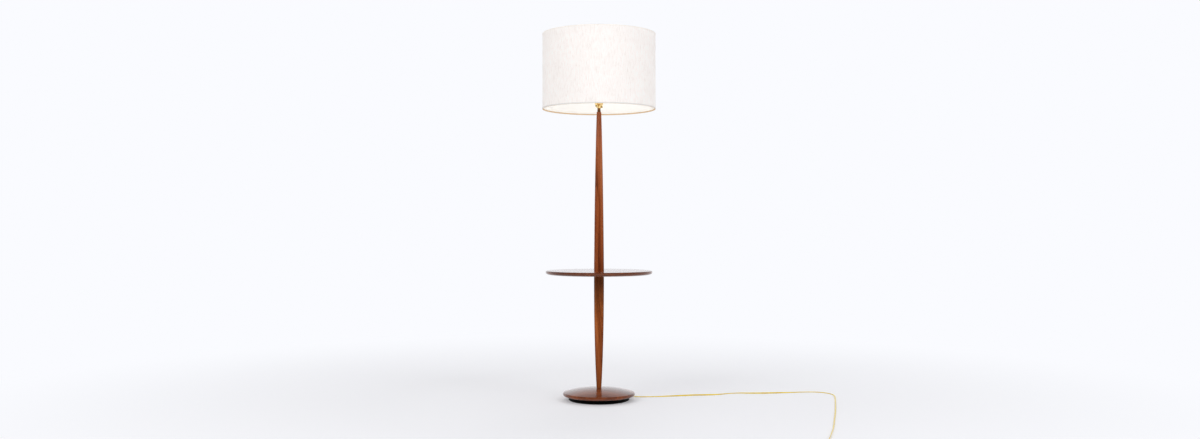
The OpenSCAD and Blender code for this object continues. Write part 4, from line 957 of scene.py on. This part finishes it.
for x, z, d in half + [(-x, z, 360 - d) for x, z, d in reversed(half)]:
    t = Vector((math.cos(math.radians(d)), 0, math.sin(math.radians(d))))
    nrm = Vector((t.z, 0, -t.x))
    # the top is pressed flat for the stud: wide, thin and squarer near the middle
    flat = smooth01((PRESS_REACH - abs(x)) / PRESS_FADE) if z > PRESS_Z else 0.0
    ru, rw = WIRE_R - PRESS_THIN * flat, WIRE_R + PRESS_WIDE * flat
    if z < Z_SEAT + 0.5:
        ru = rw = FOOT_WIRE_R
    power = 1 - PRESS_SQUARE * flat
    ring = []
    for k in range(WIRE_STEPS):
        a = math.tau * k / WIRE_STEPS
        su, sw = math.cos(a), math.sin(a)
        u = math.copysign(abs(su) ** power, su) * ru
        w = math.copysign(abs(sw) ** power, sw) * rw
        q = Vector((x, 0, z)) + u * nrm
        ring.append((q.x * hx + w * hy + Vector((0, 0, q.z))) * MM)
    harp_rings.append(ring)
harp = skin("harp_loop_wire", harp_rings, sharp=45)
dress(harp, "stand", ("brass",), ("harp_wire",))

# ------------------------------------------------------------------ threads of bulb and socket
PITCH, THREAD_AT = 0.0036288, 1.2337
THREAD_ROWS, THREAD_STEPS = 48, 84
CAP_R, SHELL_R, SHELL_BORE_R = 0.0130, 0.0142, 0.01372


def threaded(name, outline, lo, hi, depth):
    """A turned piece whose outline points marked 1 carry a round screw thread between lo and hi."""
    def shift(i, r, z, a):
        if not outline[i][2]:
            return 0.0
        fade = smooth01((z - lo) / (0.5 * PITCH)) * smooth01((hi - z) / (0.5 * PITCH))
        return -depth * fade * ripple(z - THREAD_AT, PITCH, a)
    return turned(name, [(r, z) for r, z, _ in outline], THREAD_STEPS, shift, sharp=40)


cap_outline = (
    [(0.0, 1.2304, 0), (0.0088, 1.2304, 0), (0.0096, 1.2306, 0), (0.0118, 1.2322, 0),
     (0.0127, 1.2331, 0)]
    + [(CAP_R, THREAD_AT + 0.00036 * i, 1) for i in range(THREAD_ROWS)]
    + [(CAP_R, 1.2517, 0), (CAP_R, 1.2529, 0), (0.01275, 1.2533, 0), (0.01235, 1.2532, 0),
       (0.01228, 1.2484, 0), (0.0, 1.2483, 0)]
)
bulb_cap = threaded("bulb_screw_cap", cap_outline, 1.2337, 1.2510, 0.0008)
dress(bulb_cap, "bulb", ("nickel",), ("bulb_cap",))
rows = [1.2275 + 0.0004 * i for i in range(THREAD_ROWS)]
shell_outline = (
    [(SHELL_R, 1.22605, 0), (SHELL_R, 1.2270, 0)]
    + [(SHELL_R, z, 1) for z in rows]
    + [(SHELL_R, 1.2466, 0), (0.01415, 1.24695, 0), (0.0138, 1.2470, 0), (0.0137, 1.2466, 0)]
    + [(SHELL_BORE_R, z, 1) for z in reversed(rows)]
    + [(0.0137, 1.2270, 0), (0.0137, 1.22605, 0)]
)
shell = threaded("socket_screw_shell", shell_outline, 1.2275, 1.2463, 0.00045)
dress(shell, "stand", ("brass_thread",), ("contact_shell",))

# ------------------------------------------------------------------ floor, background and light
BACKDROP = lin(250, 251, 255)
FLOOR_HALF = 14
OPEN_R = 0.117  # the floor is open under the base
LAMP_MIDDLE = (0, 0, 0.8)


def pale_floor():
    """A plain pale floor that fades into the pale background and is clear to a camera below it."""
    s = Shader("floor_pale", Specular_IOR_Level=0.05)
    s.surface(lin(246, 246, 249), 0.7)
    x, y, _ = s.xyz(s.obj)
    reach = s.hypot(x, y)
    away = s.span(reach, 0.9, 2.8, 0.3, 1.0)
    away = s.mul(s.mul(away, away), s.sub(3.0, s.mul(away, 2.0)))
    rays = s.node("LightPath").outputs
    seen_by = s.math("MAXIMUM", rays["Is Camera Ray"],
                     s.math("MAXIMUM", rays["Is Glossy Ray"], rays["Is Transmission Ray"]))
    fade = s.first("MixShader", s.mul(away, seen_by), s.bsdf.outputs[0],
                   s.first("Emission", BACKDROP))
    below = s.mul(s.node("NewGeometry").outputs["Backfacing"], rays["Is Camera Ray"])
    clear = s.math("MAXIMUM", below, s.math("LESS_THAN", reach, OPEN_R))
    s.put(s.end.inputs[0], s.first("MixShader", clear, fade, s.first("BsdfTransparent")))
    return s.mat


corners = [(x * FLOOR_HALF, y * FLOOR_HALF, 0) for x, y in ((-1, -1), (1, -1), (1, 1), (-1, 1))]
floor = mesh_object("floor_plane", corners, [(0, 1, 2, 3)], sharp=None)
floor.data.materials.append(pale_floor())

world = bpy.data.worlds.new("studio")
SCENE.world = world
world.use_nodes = True
studio = Nodes(world.node_tree)
ray = studio.node("LightPath").outputs
shiny = studio.math("MAXIMUM", ray["Is Glossy Ray"], ray["Is Transmission Ray"])
# shiny things see the white backdrop behind the lamp and a dimmer room in front of it
_, way_y, way_z = studio.xyz(studio.node("TexCoord").outputs["Generated"])
depth = studio.span(way_y, -0.1, 0.75, 0.40, 1.0)
height = studio.span(way_z, 0.28, 0.75, 1.0, 0.35)
room = studio.first("Background", BACKDROP, studio.mul(depth, height))
shed = studio.first("Background", (0.985, 0.99, 1.0, 1), 0.56)
seen = studio.first("Background", BACKDROP, 1.0)
unseen = studio.first("MixShader", shiny, shed, room)
studio.node("OutputWorld", studio.first("MixShader", ray["Is Camera Ray"], unseen, seen))


def softbox(name, place, w, h, watts, colour):
    """A soft light aimed at the lamp that polished things don't mirror."""
    data = bpy.data.lights.new(name, "AREA")
    data.shape, data.size, data.size_y = "RECTANGLE", w, h
    data.energy, data.color = watts, colour
    ob = bpy.data.objects.new(name, data)
    SCENE.collection.objects.link(ob)
    ob.location = place
    ob.rotation_euler = (Vector(LAMP_MIDDLE) - Vector(place)).to_track_quat("-Z", "Y").to_euler()
    ob.visible_glossy = False


softbox("key", (-2.5, -3.0, 3.1), 2.2, 2.2, 58, (1.0, 0.99, 0.98))
softbox("fill", (2.9, -2.6, 2.5), 2.0, 2.2, 45, (0.99, 0.99, 1.0))
softbox("back", (0.4, 3.2, 3.0), 2.6, 1.8, 36, (1, 1, 1))

SCENE.view_settings.view_transform = "Standard"
